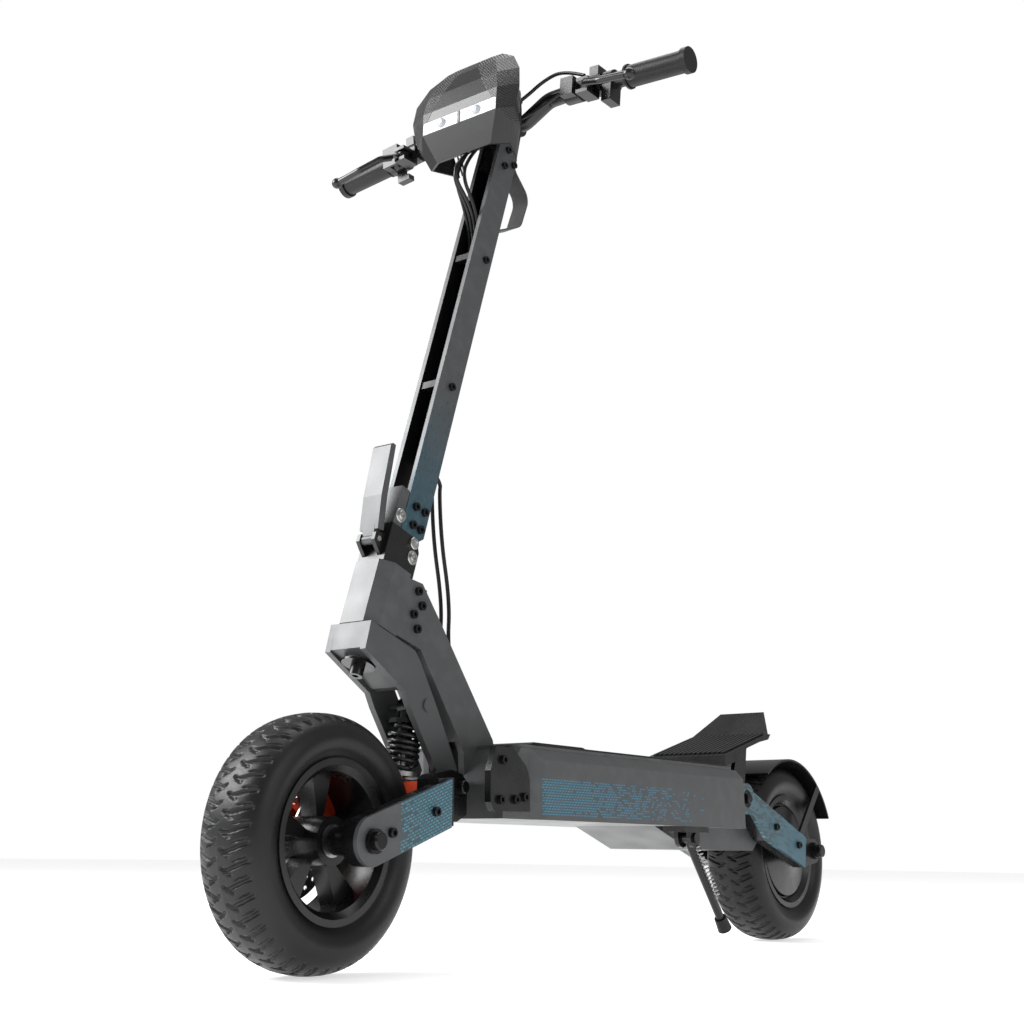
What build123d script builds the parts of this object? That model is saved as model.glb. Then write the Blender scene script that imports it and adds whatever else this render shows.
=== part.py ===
from build123d import *
from math import cos, radians, sin, tan
import os

# Electric kick scooter with a folding stem, two swing arms and a rear hub motor.
# Frame: +X forward, +Y to the rider's left, +Z up, millimetres. The origin is on the
# ground, half way between the axles and under the middle of the deck.

# ---------------------------------------------------------------- driving dimensions
WHEELBASE = 995.0
TYRE_R = 127.5
TYRE_HALF = 43.0
RIM_R = 81.0
RAKE = 18.0

FRONT_X = WHEELBASE / 2
REAR_X = -WHEELBASE / 2
AXLE_Z = TYRE_R
AXLE_R = 6.0

# steering axis: passes through HEAD, leaning back by RAKE
HEAD_X = 425.0
HEAD_Z = 347.0
HEAD_HEIGHT = 76.0
HEAD_HALF = 30.0
STEERER_R = 15.0
STEERER_TOP = 90.0

FORK_HALF = 30.0
LEG_THICK = 8.0
FRONT_PIVOT = (330.0, 186.0)
REAR_PIVOT = (-285.0, 195.0)
ARM_IN = 64.0
ARM_OUT = 80.0
COVER_THICK = 5.0
ARM_END_R = 24.0
PIVOT_R = 6.0
RUN_FIT = 0.06

STEM_HALF = 18.0
STEM_PLATE = 6.0
STEM_FRONT = 6.0
STEM_REAR = -34.0
STEM_LOW = 126.0
STEM_TOP = 745.0
FOLD_T = -21.0
FOLD_S = 102.0
FOLD_PIN_R = 4.0

DECK_HALF = 103.0
DECK_NOSE_HALF = 92.0
DECK_TOP_HALF = 92.0
DECK_LOW = 154.0
DECK_HIGH = 231.0
DECK_REAR = -241.0
DECK_SHOULDER = 231.0
DECK_NOSE = 296.0
DECK_WALL = 4.0
LID_THICK = 4.0
MAT_THICK = 3.0

BAR_X = 184.0
BAR_Z = 1073.0
BAR_R = 11.1
CLAMP_R = 15.9
BAR_END_Y = 302.0
GRIP_IN_Y = 212.0

KICK_PIVOT = (-112.0, 140.0)

# ---------------------------------------------------------------- reference planes
SIN_R = sin(radians(RAKE))
COS_R = cos(radians(RAKE))
STEER = Plane(origin=(HEAD_X, 0, HEAD_Z), x_dir=(COS_R, 0, SIN_R), z_dir=(-SIN_R, 0, COS_R))
STEER_SIDE = Plane(origin=(HEAD_X, 0, HEAD_Z), x_dir=(COS_R, 0, SIN_R), z_dir=(0, -1, 0))


def head_xz(t, s):
    """World (x, z) of a point t ahead of the steering axis and s up along it."""
    return (HEAD_X + t * COS_R - s * SIN_R, HEAD_Z + t * SIN_R + s * COS_R)


def profile(points, y_out, base=Plane.XZ):
    """Closed polygon drawn on the side plane that stands at y_out."""
    with BuildSketch(base.offset(-y_out)) as sketch:
        with BuildLine():
            Polyline(*points, close=True)
        make_face()
    return sketch.sketch


def disc(centre, radius, y_out, base=Plane.XZ):
    """Round face on the side plane that stands at y_out."""
    with BuildSketch(base.offset(-y_out)) as sketch:
        with Locations(centre):
            Circle(radius)
    return sketch.sketch


def plan(points, s, base=STEER):
    """Closed polygon across the steering axis at height s."""
    with BuildSketch(base.offset(s)) as sketch:
        with BuildLine():
            Polyline(*points, close=True)
        make_face()
    return sketch.sketch


def slab(points, y_low, y_high, base=Plane.XZ, mode=Mode.ADD):
    """Flat plate with a side outline, between two y values."""
    extrude(profile(points, y_high, base), amount=y_high - y_low, mode=mode)


def rod(centre, radius, y_low, y_high, base=Plane.XZ, mode=Mode.ADD):
    """Cylinder along Y between two y values."""
    extrude(disc(centre, radius, y_high, base), amount=y_high - y_low, mode=mode)


def both_sides():
    """Repeat the work so far on the other side of the centre plane."""
    mirror(about=Plane.XZ)


def block(low, high, mode=Mode.ADD):
    """Box between two opposite corners."""
    points = [(low[0], low[2]), (high[0], low[2]), (high[0], high[2]), (low[0], high[2])]
    slab(points, low[1], high[1], Plane.XZ, mode)


def finish(builder, label):
    """Name the piece and write it."""
    builder.part.label = label
    export_step(builder.part, "parts/" + label + ".step")


os.makedirs("parts", exist_ok=True)


# ================================================================ wheels
def wheel_plane(axle_x):
    """Profile plane of a wheel: local x along the axle, local y outward."""
    return Plane(origin=(axle_x, 0, AXLE_Z), x_dir=(0, 1, 0), z_dir=(1, 0, 0))


def spin(points, axle_x, mode=Mode.ADD):
    """Turn a section, given as (along the axle, radius), about the axle."""
    with BuildSketch(wheel_plane(axle_x)) as section:
        with BuildLine():
            Polyline(*points, close=True)
        make_face()
    revolve(section.sketch, axis=Axis((axle_x, 0, AXLE_Z), (0, 1, 0)), mode=mode)


TYRE_OUTER = [(0, TYRE_R), (16, 126.6), (28, 123.6), (36, 118.5), (41, 111), (TYRE_HALF, 101),
              (42, 92), (38, 85), (34, 81.3), (34, 78)]
TYRE_INNER = [(27, 78), (29, 84), (35, 93), (36, 101), (33.5, 109), (28, 115), (14, 118.5), (0, 119)]


def tyre(axle_x):
    """Tyre with a C section that the rim closes."""
    right = TYRE_OUTER + TYRE_INNER
    left = [(-u, v) for u, v in TYRE_INNER[-2::-1] + TYRE_OUTER[:0:-1]]
    with BuildPart() as tyre_body:
        spin(right + left, axle_x)
    return tyre_body


RIM_HALF = [(30.0, 68.0), (36.5, 74.0), (36.5, RIM_R), (34.1, RIM_R), (34.1, 77.9), (26.9, 77.9),
            (22.0, 72.0)]


def rim_barrel(axle_x):
    """Barrel with two bead flanges."""
    upper = RIM_HALF
    outline = [(-u, v) for u, v in upper] + upper[::-1]
    spin(outline, axle_x)


front_tyre = tyre(FRONT_X)
finish(front_tyre, "front_tyre")
rear_tyre = tyre(REAR_X)
finish(rear_tyre, "rear_tyre")

HUB_R = 24.0
HUB_HALF = 30.0
SPOKES = 5
SPOKE_HALF = 11.0
BEARING_R = 16.0
BEARING_WIDE = 9.0
with BuildPart() as front_rim:
    rim_barrel(FRONT_X)
    rod((FRONT_X, AXLE_Z), HUB_R, -HUB_HALF, HUB_HALF)
    with BuildSketch(Plane.XZ.offset(-SPOKE_HALF)) as spokes:
        with Locations((FRONT_X, AXLE_Z)):
            with PolarLocations(0, SPOKES, start_angle=18):
                with Locations((46, 0)):
                    Trapezoid(30, 50, 78, rotation=90)
    extrude(spokes.sketch, amount=2 * SPOKE_HALF)
    rod((FRONT_X, AXLE_Z), 10, -HUB_HALF, HUB_HALF, mode=Mode.SUBTRACT)
    rod((FRONT_X, AXLE_Z), BEARING_R, HUB_HALF - BEARING_WIDE, HUB_HALF, mode=Mode.SUBTRACT)
    rod((FRONT_X, AXLE_Z), BEARING_R, -HUB_HALF, BEARING_WIDE - HUB_HALF, mode=Mode.SUBTRACT)
finish(front_rim, "front_rim")

with BuildPart() as front_bearings:
    rod((FRONT_X, AXLE_Z), BEARING_R, HUB_HALF - BEARING_WIDE, HUB_HALF)
    rod((FRONT_X, AXLE_Z), AXLE_R + RUN_FIT, HUB_HALF - BEARING_WIDE, HUB_HALF, mode=Mode.SUBTRACT)
    both_sides()
finish(front_bearings, "front_bearings")

DISC_R = 60.0
DISC_Y = -34.0
with BuildPart() as front_disc:
    rod((FRONT_X, AXLE_Z), DISC_R, DISC_Y, DISC_Y + 2)
    rod((FRONT_X, AXLE_Z), 38, DISC_Y, DISC_Y + 2, mode=Mode.SUBTRACT)
    with BuildSketch(Plane.XZ.offset(-DISC_Y - 2)) as disc_arms:
        with Locations((FRONT_X, AXLE_Z)):
            with PolarLocations(0, 6):
                with Locations((28, 0)):
                    Rectangle(26, 8)
            Circle(22)
            Circle(17, mode=Mode.SUBTRACT)
    extrude(disc_arms.sketch, amount=2)
    with BuildSketch(Plane.XZ.offset(-DISC_Y - 2)) as disc_holes:
        with Locations((FRONT_X, AXLE_Z)):
            with PolarLocations(53, 24):
                Circle(2.2)
            with PolarLocations(45, 24, start_angle=7.5):
                Circle(2.2)
    extrude(disc_holes.sketch, amount=2, mode=Mode.SUBTRACT)
    rod((FRONT_X, AXLE_Z), 22, DISC_Y + 2, -HUB_HALF)
    rod((FRONT_X, AXLE_Z), 17, DISC_Y + 2, -HUB_HALF, mode=Mode.SUBTRACT)
finish(front_disc, "front_disc")

MOTOR_R = 58.0
MOTOR_HALF = 27.0
MOTOR_COVER = [(MOTOR_HALF - 4, 66), (MOTOR_HALF, 66), (MOTOR_HALF + 5, 64), (MOTOR_HALF + 8, 40),
               (MOTOR_HALF + 11, 22), (MOTOR_HALF + 11, AXLE_R + RUN_FIT),
               (MOTOR_HALF - 4, AXLE_R + RUN_FIT)]
with BuildPart() as rear_rim:
    rim_barrel(REAR_X)
    rod((REAR_X, AXLE_Z), 69, -MOTOR_HALF, MOTOR_HALF)
    rod((REAR_X, AXLE_Z), MOTOR_R, -MOTOR_HALF, MOTOR_HALF, mode=Mode.SUBTRACT)
    spin(MOTOR_COVER, REAR_X)
    spin([(-y, r) for y, r in MOTOR_COVER], REAR_X)
finish(rear_rim, "rear_rim")

# ================================================================ axles
def axle(centre, nut_in, nut_out, nut_r, tip_out, tip_r, label, core=None):
    """Through axle with a nut and a domed tip at each end, and a core if (radius, half width) is given."""
    with BuildPart() as axle_body:
        if core:
            rod(centre, core[0], -core[1], core[1])
        rod(centre, AXLE_R, -nut_in, nut_in)
        rod(centre, nut_r, nut_in, nut_out)
        rod(centre, tip_r, nut_out, tip_out)
        rod(centre, nut_r, -nut_out, -nut_in)
        rod(centre, tip_r, -tip_out, -nut_out)
        tips = axle_body.edges().filter_by(GeomType.CIRCLE).sort_by(Axis.Y)
        fillet([tips[0], tips[-1]], radius=2)
    finish(axle_body, label)


AXLE_NUT_IN = ARM_OUT + COVER_THICK
axle((FRONT_X, AXLE_Z), AXLE_NUT_IN, AXLE_NUT_IN + 5, 12, AXLE_NUT_IN + 12, 9, "front_axle")
# the motor's stator is pressed on the rear axle
STATOR = (54.0, 18.0)
axle((REAR_X, AXLE_Z), ARM_OUT, ARM_OUT + 5, 12, ARM_OUT + 14, 9, "rear_axle", STATOR)

# ================================================================ front swing arm
INNER_ARM_IN = 31.0
INNER_ARM_OUT = 56.0
JOG_X = 366.0
FRONT_INNER = [(314, 158), (330, 150), (380, 147), (380, 193), (372, 198), (341, 204), (322, 200),
               (314, 192)]
FRONT_OUTER = [(JOG_X, 145), (FRONT_X - 8, AXLE_Z - 22), (FRONT_X + 8, AXLE_Z + 22), (JOG_X, 194)]
with BuildPart() as front_arm:
    slab(FRONT_INNER, 40, INNER_ARM_OUT)
    rod(FRONT_PIVOT, 15, INNER_ARM_IN, INNER_ARM_OUT)
    slab(FRONT_OUTER, ARM_IN, ARM_OUT)
    rod((FRONT_X, AXLE_Z), ARM_END_R, ARM_IN, ARM_OUT)
    rod((FRONT_X, AXLE_Z), 14, HUB_HALF + 5.5, ARM_IN)
    slab([(JOG_X, 145), (392, 146), (392, 192), (JOG_X, 194)], 50, ARM_OUT)
    rod((FRONT_X, AXLE_Z), AXLE_R, HUB_HALF, ARM_OUT, mode=Mode.SUBTRACT)
    rod(FRONT_PIVOT, PIVOT_R + RUN_FIT, INNER_ARM_IN, INNER_ARM_OUT, mode=Mode.SUBTRACT)
    both_sides()
finish(front_arm, "front_arm")

with BuildPart() as front_arm_covers:
    slab([(375, 143), (FRONT_X - 8, AXLE_Z - 22.6), (FRONT_X + 8, AXLE_Z + 22.6), (375, 192)],
         ARM_OUT, ARM_OUT + COVER_THICK)
    rod((FRONT_X, AXLE_Z), ARM_END_R, ARM_OUT, ARM_OUT + COVER_THICK)
    rod((FRONT_X, AXLE_Z), AXLE_R, ARM_OUT, ARM_OUT + COVER_THICK, mode=Mode.SUBTRACT)
    both_sides()
finish(front_arm_covers, "front_arm_covers")

SHOCK_LOW = (362.0, 184.0)
SHOCK_TOP = (354.0, 273.0)
SHOCK_PIN_R = 4.0
with BuildPart() as front_arm_bridge:
    slab([(352, 160), (366, 158), (372, 174), (372, 191), (352, 191)], -40, 40)
    block((350, -8, 168), (374, 8, 195), mode=Mode.SUBTRACT)
    rod(SHOCK_LOW, SHOCK_PIN_R, -9, 9)
finish(front_arm_bridge, "front_arm_bridge")

axle(FRONT_PIVOT, INNER_ARM_OUT + 0.3, INNER_ARM_OUT + 4, 11, INNER_ARM_OUT + 12, 7, "front_pivot_axle")

CALIPER_OUTLINE = [(442, 150), (450, 172), (436, 188), (414, 190), (404, 172), (408, 150), (424, 142)]


def ring_part(inner_r, outer_r, y_low, y_high):
    """Part of a ring about the front axle, behind and above it."""
    with BuildSketch(Plane.XZ.offset(-y_high)) as ring:
        with Locations((FRONT_X, AXLE_Z)):
            Circle(outer_r)
            Circle(inner_r, mode=Mode.SUBTRACT)
        with BuildLine():
            Polyline((FRONT_X, AXLE_Z), (FRONT_X - 90, AXLE_Z - 4), (FRONT_X - 90, AXLE_Z + 90),
                     (FRONT_X - 26, AXLE_Z + 90), close=True)
        make_face(mode=Mode.INTERSECT)
    extrude(ring.sketch, amount=y_high - y_low)


with BuildPart() as front_caliper:
    slab(CALIPER_OUTLINE, -54, -46)
    ring_part(38, 66, -48, -36.8)
    ring_part(61.5, 66, -36.8, -24)
    ring_part(40, 66, -30.8, -24)
    rod((418, 156), 6, -ARM_IN, -54)
    rod((436, 152), 6, -ARM_IN, -54)
finish(front_caliper, "front_caliper")

# ================================================================ front shock
def damper(top, low, body_r, rod_r, spring_r, wire_r, names):
    """Body with the upper eye, rod with the lower eye and cup, and a coil between them."""
    length = Vector(top[0] - low[0], 0, top[1] - low[1]).length
    along = Plane(origin=(top[0], 0, top[1]), x_dir=(0, 1, 0), z_dir=(low[0] - top[0], 0, low[1] - top[1]))
    spring_top = 20.0
    spring_low = length - 17.0
    with BuildPart() as upper:
        with BuildSketch(along.offset(6)):
            Circle(body_r)
        extrude(amount=length - 42)
        with BuildSketch(along.offset(15)):
            Circle(spring_r + 1)
        extrude(amount=spring_top - 15)
        rod(top, 10, -6, 6)
        rod(top, SHOCK_PIN_R + 0.05, -20, 20, mode=Mode.SUBTRACT)
        with BuildSketch(along.offset(30)):
            Circle(rod_r + RUN_FIT)
        extrude(amount=length, mode=Mode.SUBTRACT)
    finish(upper, names[0])
    with BuildPart() as lower:
        with BuildSketch(along.offset(length - 44)):
            Circle(rod_r)
        extrude(amount=38)
        with BuildSketch(along.offset(spring_low)):
            Circle(spring_r + 1)
        extrude(amount=5)
        rod(low, 10, -6, 6)
        rod(low, SHOCK_PIN_R + 0.8, -20, 20, mode=Mode.SUBTRACT)
    finish(lower, names[1])
    with BuildPart() as coil:
        with BuildSketch(along.offset(spring_top + 0.3)):
            Circle(spring_r)
            Circle(spring_r - 2 * wire_r, mode=Mode.SUBTRACT)
        extrude(amount=spring_low - spring_top - 0.6)
    finish(coil, names[2])


damper(SHOCK_TOP, SHOCK_LOW, 9, 5, 19, 2.5,
       ("front_damper_body", "front_damper_rod", "front_spring"))

# ================================================================ fork
LEG_OUTLINE = [head_xz(27, 0), head_xz(25, -32), head_xz(-12, -40), head_xz(-50, -48), head_xz(-63, -60),
               (335, 203), (347, 191), (313, 180), (299, 207), head_xz(-110, -46), head_xz(-63, -7),
               head_xz(-51, 0)]
CROWN_FILL = [head_xz(27, 0), head_xz(25, -30), head_xz(-20, -36), head_xz(-48, -44), head_xz(-56, -44),
              head_xz(-56, -10), head_xz(-51, 0)]
with BuildPart() as fork:
    slab(LEG_OUTLINE, FORK_HALF - LEG_THICK, FORK_HALF)
    rod(FRONT_PIVOT, 17.5, FORK_HALF - LEG_THICK, FORK_HALF)
    both_sides()
    slab(CROWN_FILL, LEG_THICK - FORK_HALF, FORK_HALF - LEG_THICK)
    with BuildSketch(STEER.offset(-36)):
        Circle(15)
    extrude(amount=20)
    with BuildSketch(STEER):
        Circle(STEERER_R)
    extrude(amount=STEERER_TOP)
    with BuildSketch(STEER.offset(-60)):
        Circle(5.1)
    extrude(amount=180, mode=Mode.SUBTRACT)
    rod(SHOCK_TOP, SHOCK_PIN_R, -FORK_HALF - 2, FORK_HALF + 2)
    rod(SHOCK_TOP, 7, FORK_HALF, FORK_HALF + 2)
    rod(SHOCK_TOP, 7, -FORK_HALF - 2, -FORK_HALF)
    rod(FRONT_PIVOT, PIVOT_R, -FORK_HALF, FORK_HALF, mode=Mode.SUBTRACT)
finish(fork, "fork")

with BuildPart() as steerer_bolt:
    with BuildSketch(STEER.offset(-38.5)):
        Circle(19)
    extrude(amount=2.5)
    with BuildSketch(STEER.offset(-51)):
        Circle(8)
    extrude(amount=12.5)
    with BuildSketch(STEER.offset(-51)):
        RegularPolygon(4, 6)
    extrude(amount=6, mode=Mode.SUBTRACT)
    with BuildSketch(STEER.offset(-36)):
        Circle(5)
    extrude(amount=140)
finish(steerer_bolt, "steerer_bolt")

# ================================================================ head tube and headset
HEAD_PLAN = [(27, 17.5), (13, HEAD_HALF), (-16, HEAD_HALF), (-16, 22), (-56, 22),
             (-56, -22), (-16, -22), (-16, -HEAD_HALF), (13, -HEAD_HALF), (27, -17.5)]
with BuildPart() as head_tube:
    extrude(plan(HEAD_PLAN, 1), amount=HEAD_HEIGHT)
    with BuildSketch(STEER.offset(1)):
        Circle(STEERER_R + 2)
    extrude(amount=HEAD_HEIGHT, mode=Mode.SUBTRACT)
    with BuildSketch(STEER.offset(1)):
        Circle(21)
    extrude(amount=10, mode=Mode.SUBTRACT)
    with BuildSketch(STEER.offset(1 + HEAD_HEIGHT - 10)):
        Circle(21)
    extrude(amount=10, mode=Mode.SUBTRACT)
finish(head_tube, "head_tube")

with BuildPart() as headset_bearings:
    for base in (1.2, 1 + HEAD_HEIGHT - 10):
        with BuildSketch(STEER.offset(base)):
            Circle(21)
            Circle(STEERER_R + RUN_FIT, mode=Mode.SUBTRACT)
        extrude(amount=9.8)
finish(headset_bearings, "headset_bearings")

# ================================================================ neck
NECK_OUTLINE = [head_xz(-16, 72), head_xz(-38, 76), head_xz(-87, 45), (233, 243), (226, 214),
                (226, DECK_LOW + 4),
                (284, DECK_LOW + 4), (288, 226), (295, 238), head_xz(-108, -29), head_xz(-59, 5),
                head_xz(-16, 3)]
with BuildPart() as neck_yoke:
    slab(NECK_OUTLINE, 22, FORK_HALF)
    both_sides()
    slab([head_xz(-82, 48), head_xz(-87, 41), (233, 236), (241, 236), head_xz(-86, 30),
          head_xz(-80, 38)], -22, 22)
    slab([(274, 284), (296, 302), (286, 316), (262, 298)], -11, 11, mode=Mode.SUBTRACT)
    slab([(288, 238), (295, 238), head_xz(-110, -31), head_xz(-64, 2), head_xz(-68, 6), head_xz(-114, -27)],
         -22, 22)
    slab([(228, DECK_LOW + 4), (282, DECK_LOW + 4), (282, DECK_LOW + 12), (228, DECK_LOW + 12)], -22, 22)
finish(neck_yoke, "neck_yoke")

# ================================================================ deck
DECK_PLAN = [(DECK_REAR, DECK_HALF), (DECK_SHOULDER, DECK_HALF), (DECK_SHOULDER + 14, DECK_NOSE_HALF),
             (DECK_NOSE, DECK_NOSE_HALF), (DECK_NOSE, -DECK_NOSE_HALF),
             (DECK_SHOULDER + 14, -DECK_NOSE_HALF),
             (DECK_SHOULDER, -DECK_HALF), (DECK_REAR, -DECK_HALF)]
CHAMFER_WIDE = 11.0
CHAMFER_HIGH = 12.0
with BuildPart() as deck_tray:
    with BuildSketch(Plane.XY.offset(DECK_LOW)):
        with BuildLine():
            Polyline(*DECK_PLAN, close=True)
        make_face()
    extrude(amount=DECK_HIGH - DECK_LOW)
    with BuildSketch(Plane.YZ.offset(DECK_REAR)) as shoulders:
        for side in (1, -1):
            with BuildLine():
                Polyline((side * DECK_HALF, DECK_HIGH - CHAMFER_HIGH), (side * DECK_HALF, DECK_HIGH),
                         (side * (DECK_HALF - CHAMFER_WIDE), DECK_HIGH), close=True)
            make_face()
    extrude(shoulders.sketch, amount=DECK_NOSE - DECK_REAR, mode=Mode.SUBTRACT)
    slab([(DECK_NOSE, 190), (DECK_NOSE, DECK_HIGH), (262, DECK_HIGH)], -120, 120, mode=Mode.SUBTRACT)
    block((DECK_REAR + DECK_WALL, DECK_WALL - DECK_HALF, DECK_LOW + DECK_WALL),
          (DECK_SHOULDER - 6, DECK_HALF - DECK_WALL, DECK_HIGH - CHAMFER_HIGH - 2), mode=Mode.SUBTRACT)
    block((DECK_REAR + DECK_WALL, -84, DECK_LOW + DECK_WALL), (214, 84, DECK_HIGH), mode=Mode.SUBTRACT)
    slab([(220, DECK_LOW + DECK_WALL), (DECK_NOSE - 4, DECK_LOW + DECK_WALL), (DECK_NOSE - 4, 188),
          (260, DECK_HIGH - 4),
          (220, DECK_HIGH - 4)], -86, 86, mode=Mode.SUBTRACT)
    block((222, -30.2, DECK_LOW + DECK_WALL), (DECK_NOSE + 1, 30.2, DECK_HIGH), mode=Mode.SUBTRACT)
finish(deck_tray, "deck_tray")

JOINT_OUTLINE = [(322, 161), (328, 170), (328, 203), (318, 229), (287, 229), (262, 210), (256, 198),
                 (256, 162)]
with BuildPart() as deck_joint_plates:
    slab(JOINT_OUTLINE, DECK_NOSE_HALF, DECK_NOSE_HALF + 8)
    both_sides()
finish(deck_joint_plates, "deck_joint_plates")

with BuildPart() as deck_lid:
    block((DECK_REAR + 1, -DECK_TOP_HALF + 1, DECK_HIGH), (262, DECK_TOP_HALF - 1, DECK_HIGH + LID_THICK))
    fillet(deck_lid.edges().filter_by(Axis.Z), radius=14)
    block((222, -30.2, DECK_HIGH), (263, 30.2, DECK_HIGH + LID_THICK), mode=Mode.SUBTRACT)
finish(deck_lid, "deck_lid")

LID_TOP = DECK_HIGH + LID_THICK
with BuildPart() as deck_mat:
    block((DECK_REAR + 8, -84, LID_TOP), (216, 84, LID_TOP + MAT_THICK))
    fillet(deck_mat.edges().filter_by(Axis.Z), radius=12)
    slab([(96, LID_TOP + MAT_THICK), (108, LID_TOP + 2 * MAT_THICK), (210, LID_TOP + 2 * MAT_THICK),
          (216, LID_TOP + MAT_THICK)], -72, 72)
finish(deck_mat, "deck_mat")

with BuildPart() as battery_pack:
    block((-150, -80, DECK_LOW + DECK_WALL), (200, 80, 222))
    fillet(battery_pack.edges().filter_by(Axis.X), radius=6)
finish(battery_pack, "battery_pack")

with BuildPart() as motor_controller:
    block((-228, -60, DECK_LOW + DECK_WALL), (-162, 60, 196))
    with BuildSketch(Plane.XY.offset(196)):
        with Locations((-195, 0)):
            with GridLocations(0, 12, 1, 9):
                Rectangle(60, 4)
    extrude(amount=14)
finish(motor_controller, "motor_controller")

# ================================================================ rear frame
BOX_HALF = 62.0
BOX_WALL = 6.0
BOX_OUTLINE = [(-70, DECK_LOW), (-156, 126), (-335, 126), (-352, 139), (-338, 160), (-306, 210), (-290, 222),
               (DECK_REAR - 0.5, 222), (DECK_REAR - 0.5, DECK_LOW)]
with BuildPart() as rear_subframe:
    slab(BOX_OUTLINE, BOX_HALF - BOX_WALL, BOX_HALF)
    both_sides()
    slab([(-70, DECK_LOW), (-156, 126), (-335, 126), (-340, 131), (-158, 131), (-86, DECK_LOW)],
         BOX_WALL - BOX_HALF, BOX_HALF - BOX_WALL)
    slab([(DECK_REAR - 5, DECK_LOW), (DECK_REAR - 0.5, DECK_LOW), (DECK_REAR - 0.5, 222),
          (DECK_REAR - 5, 222)],
         BOX_WALL - BOX_HALF, BOX_HALF - BOX_WALL)
    rod(REAR_PIVOT, 19, BOX_WALL - BOX_HALF, BOX_HALF - BOX_WALL)
    rod(REAR_PIVOT, 15, BOX_WALL - BOX_HALF, BOX_HALF - BOX_WALL, mode=Mode.SUBTRACT)
    rod(REAR_PIVOT, PIVOT_R, -BOX_HALF, BOX_HALF, mode=Mode.SUBTRACT)
finish(rear_subframe, "rear_subframe")

with BuildPart() as torsion_rubber:
    rod(REAR_PIVOT, 15, -50, 50)
    rod(REAR_PIVOT, PIVOT_R, -50, 50, mode=Mode.SUBTRACT)
finish(torsion_rubber, "torsion_rubber")

axle(REAR_PIVOT, ARM_OUT + 0.3, ARM_OUT + 4, 11, ARM_OUT + 10, 7, "rear_pivot_axle")

REAR_ARM_OUTLINE = [(-306, 207), (-462, 146), (REAR_X - 8, AXLE_Z + 16), (REAR_X - 8, AXLE_Z - 16),
                    (-456, 104),
                    (-338, 140), (-300, 178)]
with BuildPart() as rear_arm:
    slab(REAR_ARM_OUTLINE, ARM_IN, ARM_OUT)
    rod(REAR_PIVOT, 21, BOX_HALF + 0.5, ARM_OUT)
    rod((REAR_X, AXLE_Z), 17, ARM_IN, ARM_OUT)
    rod((REAR_X, AXLE_Z), 13, MOTOR_HALF + 11.5, ARM_IN)
    rod((REAR_X, AXLE_Z), AXLE_R, 30, ARM_OUT, mode=Mode.SUBTRACT)
    rod(REAR_PIVOT, PIVOT_R + RUN_FIT, BOX_HALF, ARM_OUT, mode=Mode.SUBTRACT)
    both_sides()
    slab([(-352, 158), (-366, 154), (-366, 170), (-356, 174)], -ARM_IN, ARM_IN)
finish(rear_arm, "rear_arm")

with BuildPart() as rear_arm_covers:
    slab([(-300, 206), (-462, 146), (-454, 104), (-338, 140), (-296, 176)], ARM_OUT, ARM_OUT + COVER_THICK)
    rod(REAR_PIVOT, 21, ARM_OUT, ARM_OUT + COVER_THICK)
    rod(REAR_PIVOT, 12, ARM_OUT, ARM_OUT + COVER_THICK, mode=Mode.SUBTRACT)
    both_sides()
finish(rear_arm_covers, "rear_arm_covers")

# ================================================================ rear mudguard
GUARD_IN_R = 131.0
GUARD_THICK = 3.0
GUARD_HALF = 50.0
GUARD_FROM = 22.0
GUARD_TO = 125.0
STAY_ANGLE = 46.0
STAY_HALF = 6.0


def round_point(radius, angle, aside=0.0):
    """Point about the rear axle: angle from straight back, over the top of the wheel."""
    back = radius * cos(radians(angle)) - aside * sin(radians(angle))
    high = radius * sin(radians(angle)) + aside * cos(radians(angle))
    return (REAR_X - back, AXLE_Z + high)


with BuildPart() as rear_mudguard:
    guard_mid = (GUARD_FROM + GUARD_TO) / 2
    guard_top = GUARD_IN_R + GUARD_THICK
    with BuildSketch(Plane.XZ.offset(-GUARD_HALF)) as guard_arc:
        with BuildLine():
            ThreePointArc(round_point(GUARD_IN_R, GUARD_FROM), round_point(GUARD_IN_R, guard_mid),
                          round_point(GUARD_IN_R, GUARD_TO))
            Line(round_point(GUARD_IN_R, GUARD_TO), round_point(guard_top, GUARD_TO))
            ThreePointArc(round_point(guard_top, GUARD_TO), round_point(guard_top, guard_mid),
                          round_point(guard_top, GUARD_FROM))
            Line(round_point(guard_top, GUARD_FROM), round_point(GUARD_IN_R, GUARD_FROM))
        make_face()
    extrude(guard_arc.sketch, amount=2 * GUARD_HALF)
    slab([round_point(0, STAY_ANGLE, STAY_HALF), round_point(guard_top - 1, STAY_ANGLE, STAY_HALF),
          round_point(guard_top - 1, STAY_ANGLE, -STAY_HALF), round_point(0, STAY_ANGLE, -STAY_HALF)],
         GUARD_HALF - 4, GUARD_HALF)
    rod((REAR_X, AXLE_Z), 19, GUARD_HALF - 4, GUARD_HALF)
    rod((REAR_X, AXLE_Z), 13, GUARD_HALF - 4, GUARD_HALF, mode=Mode.SUBTRACT)
    both_sides()
finish(rear_mudguard, "rear_mudguard")

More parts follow.
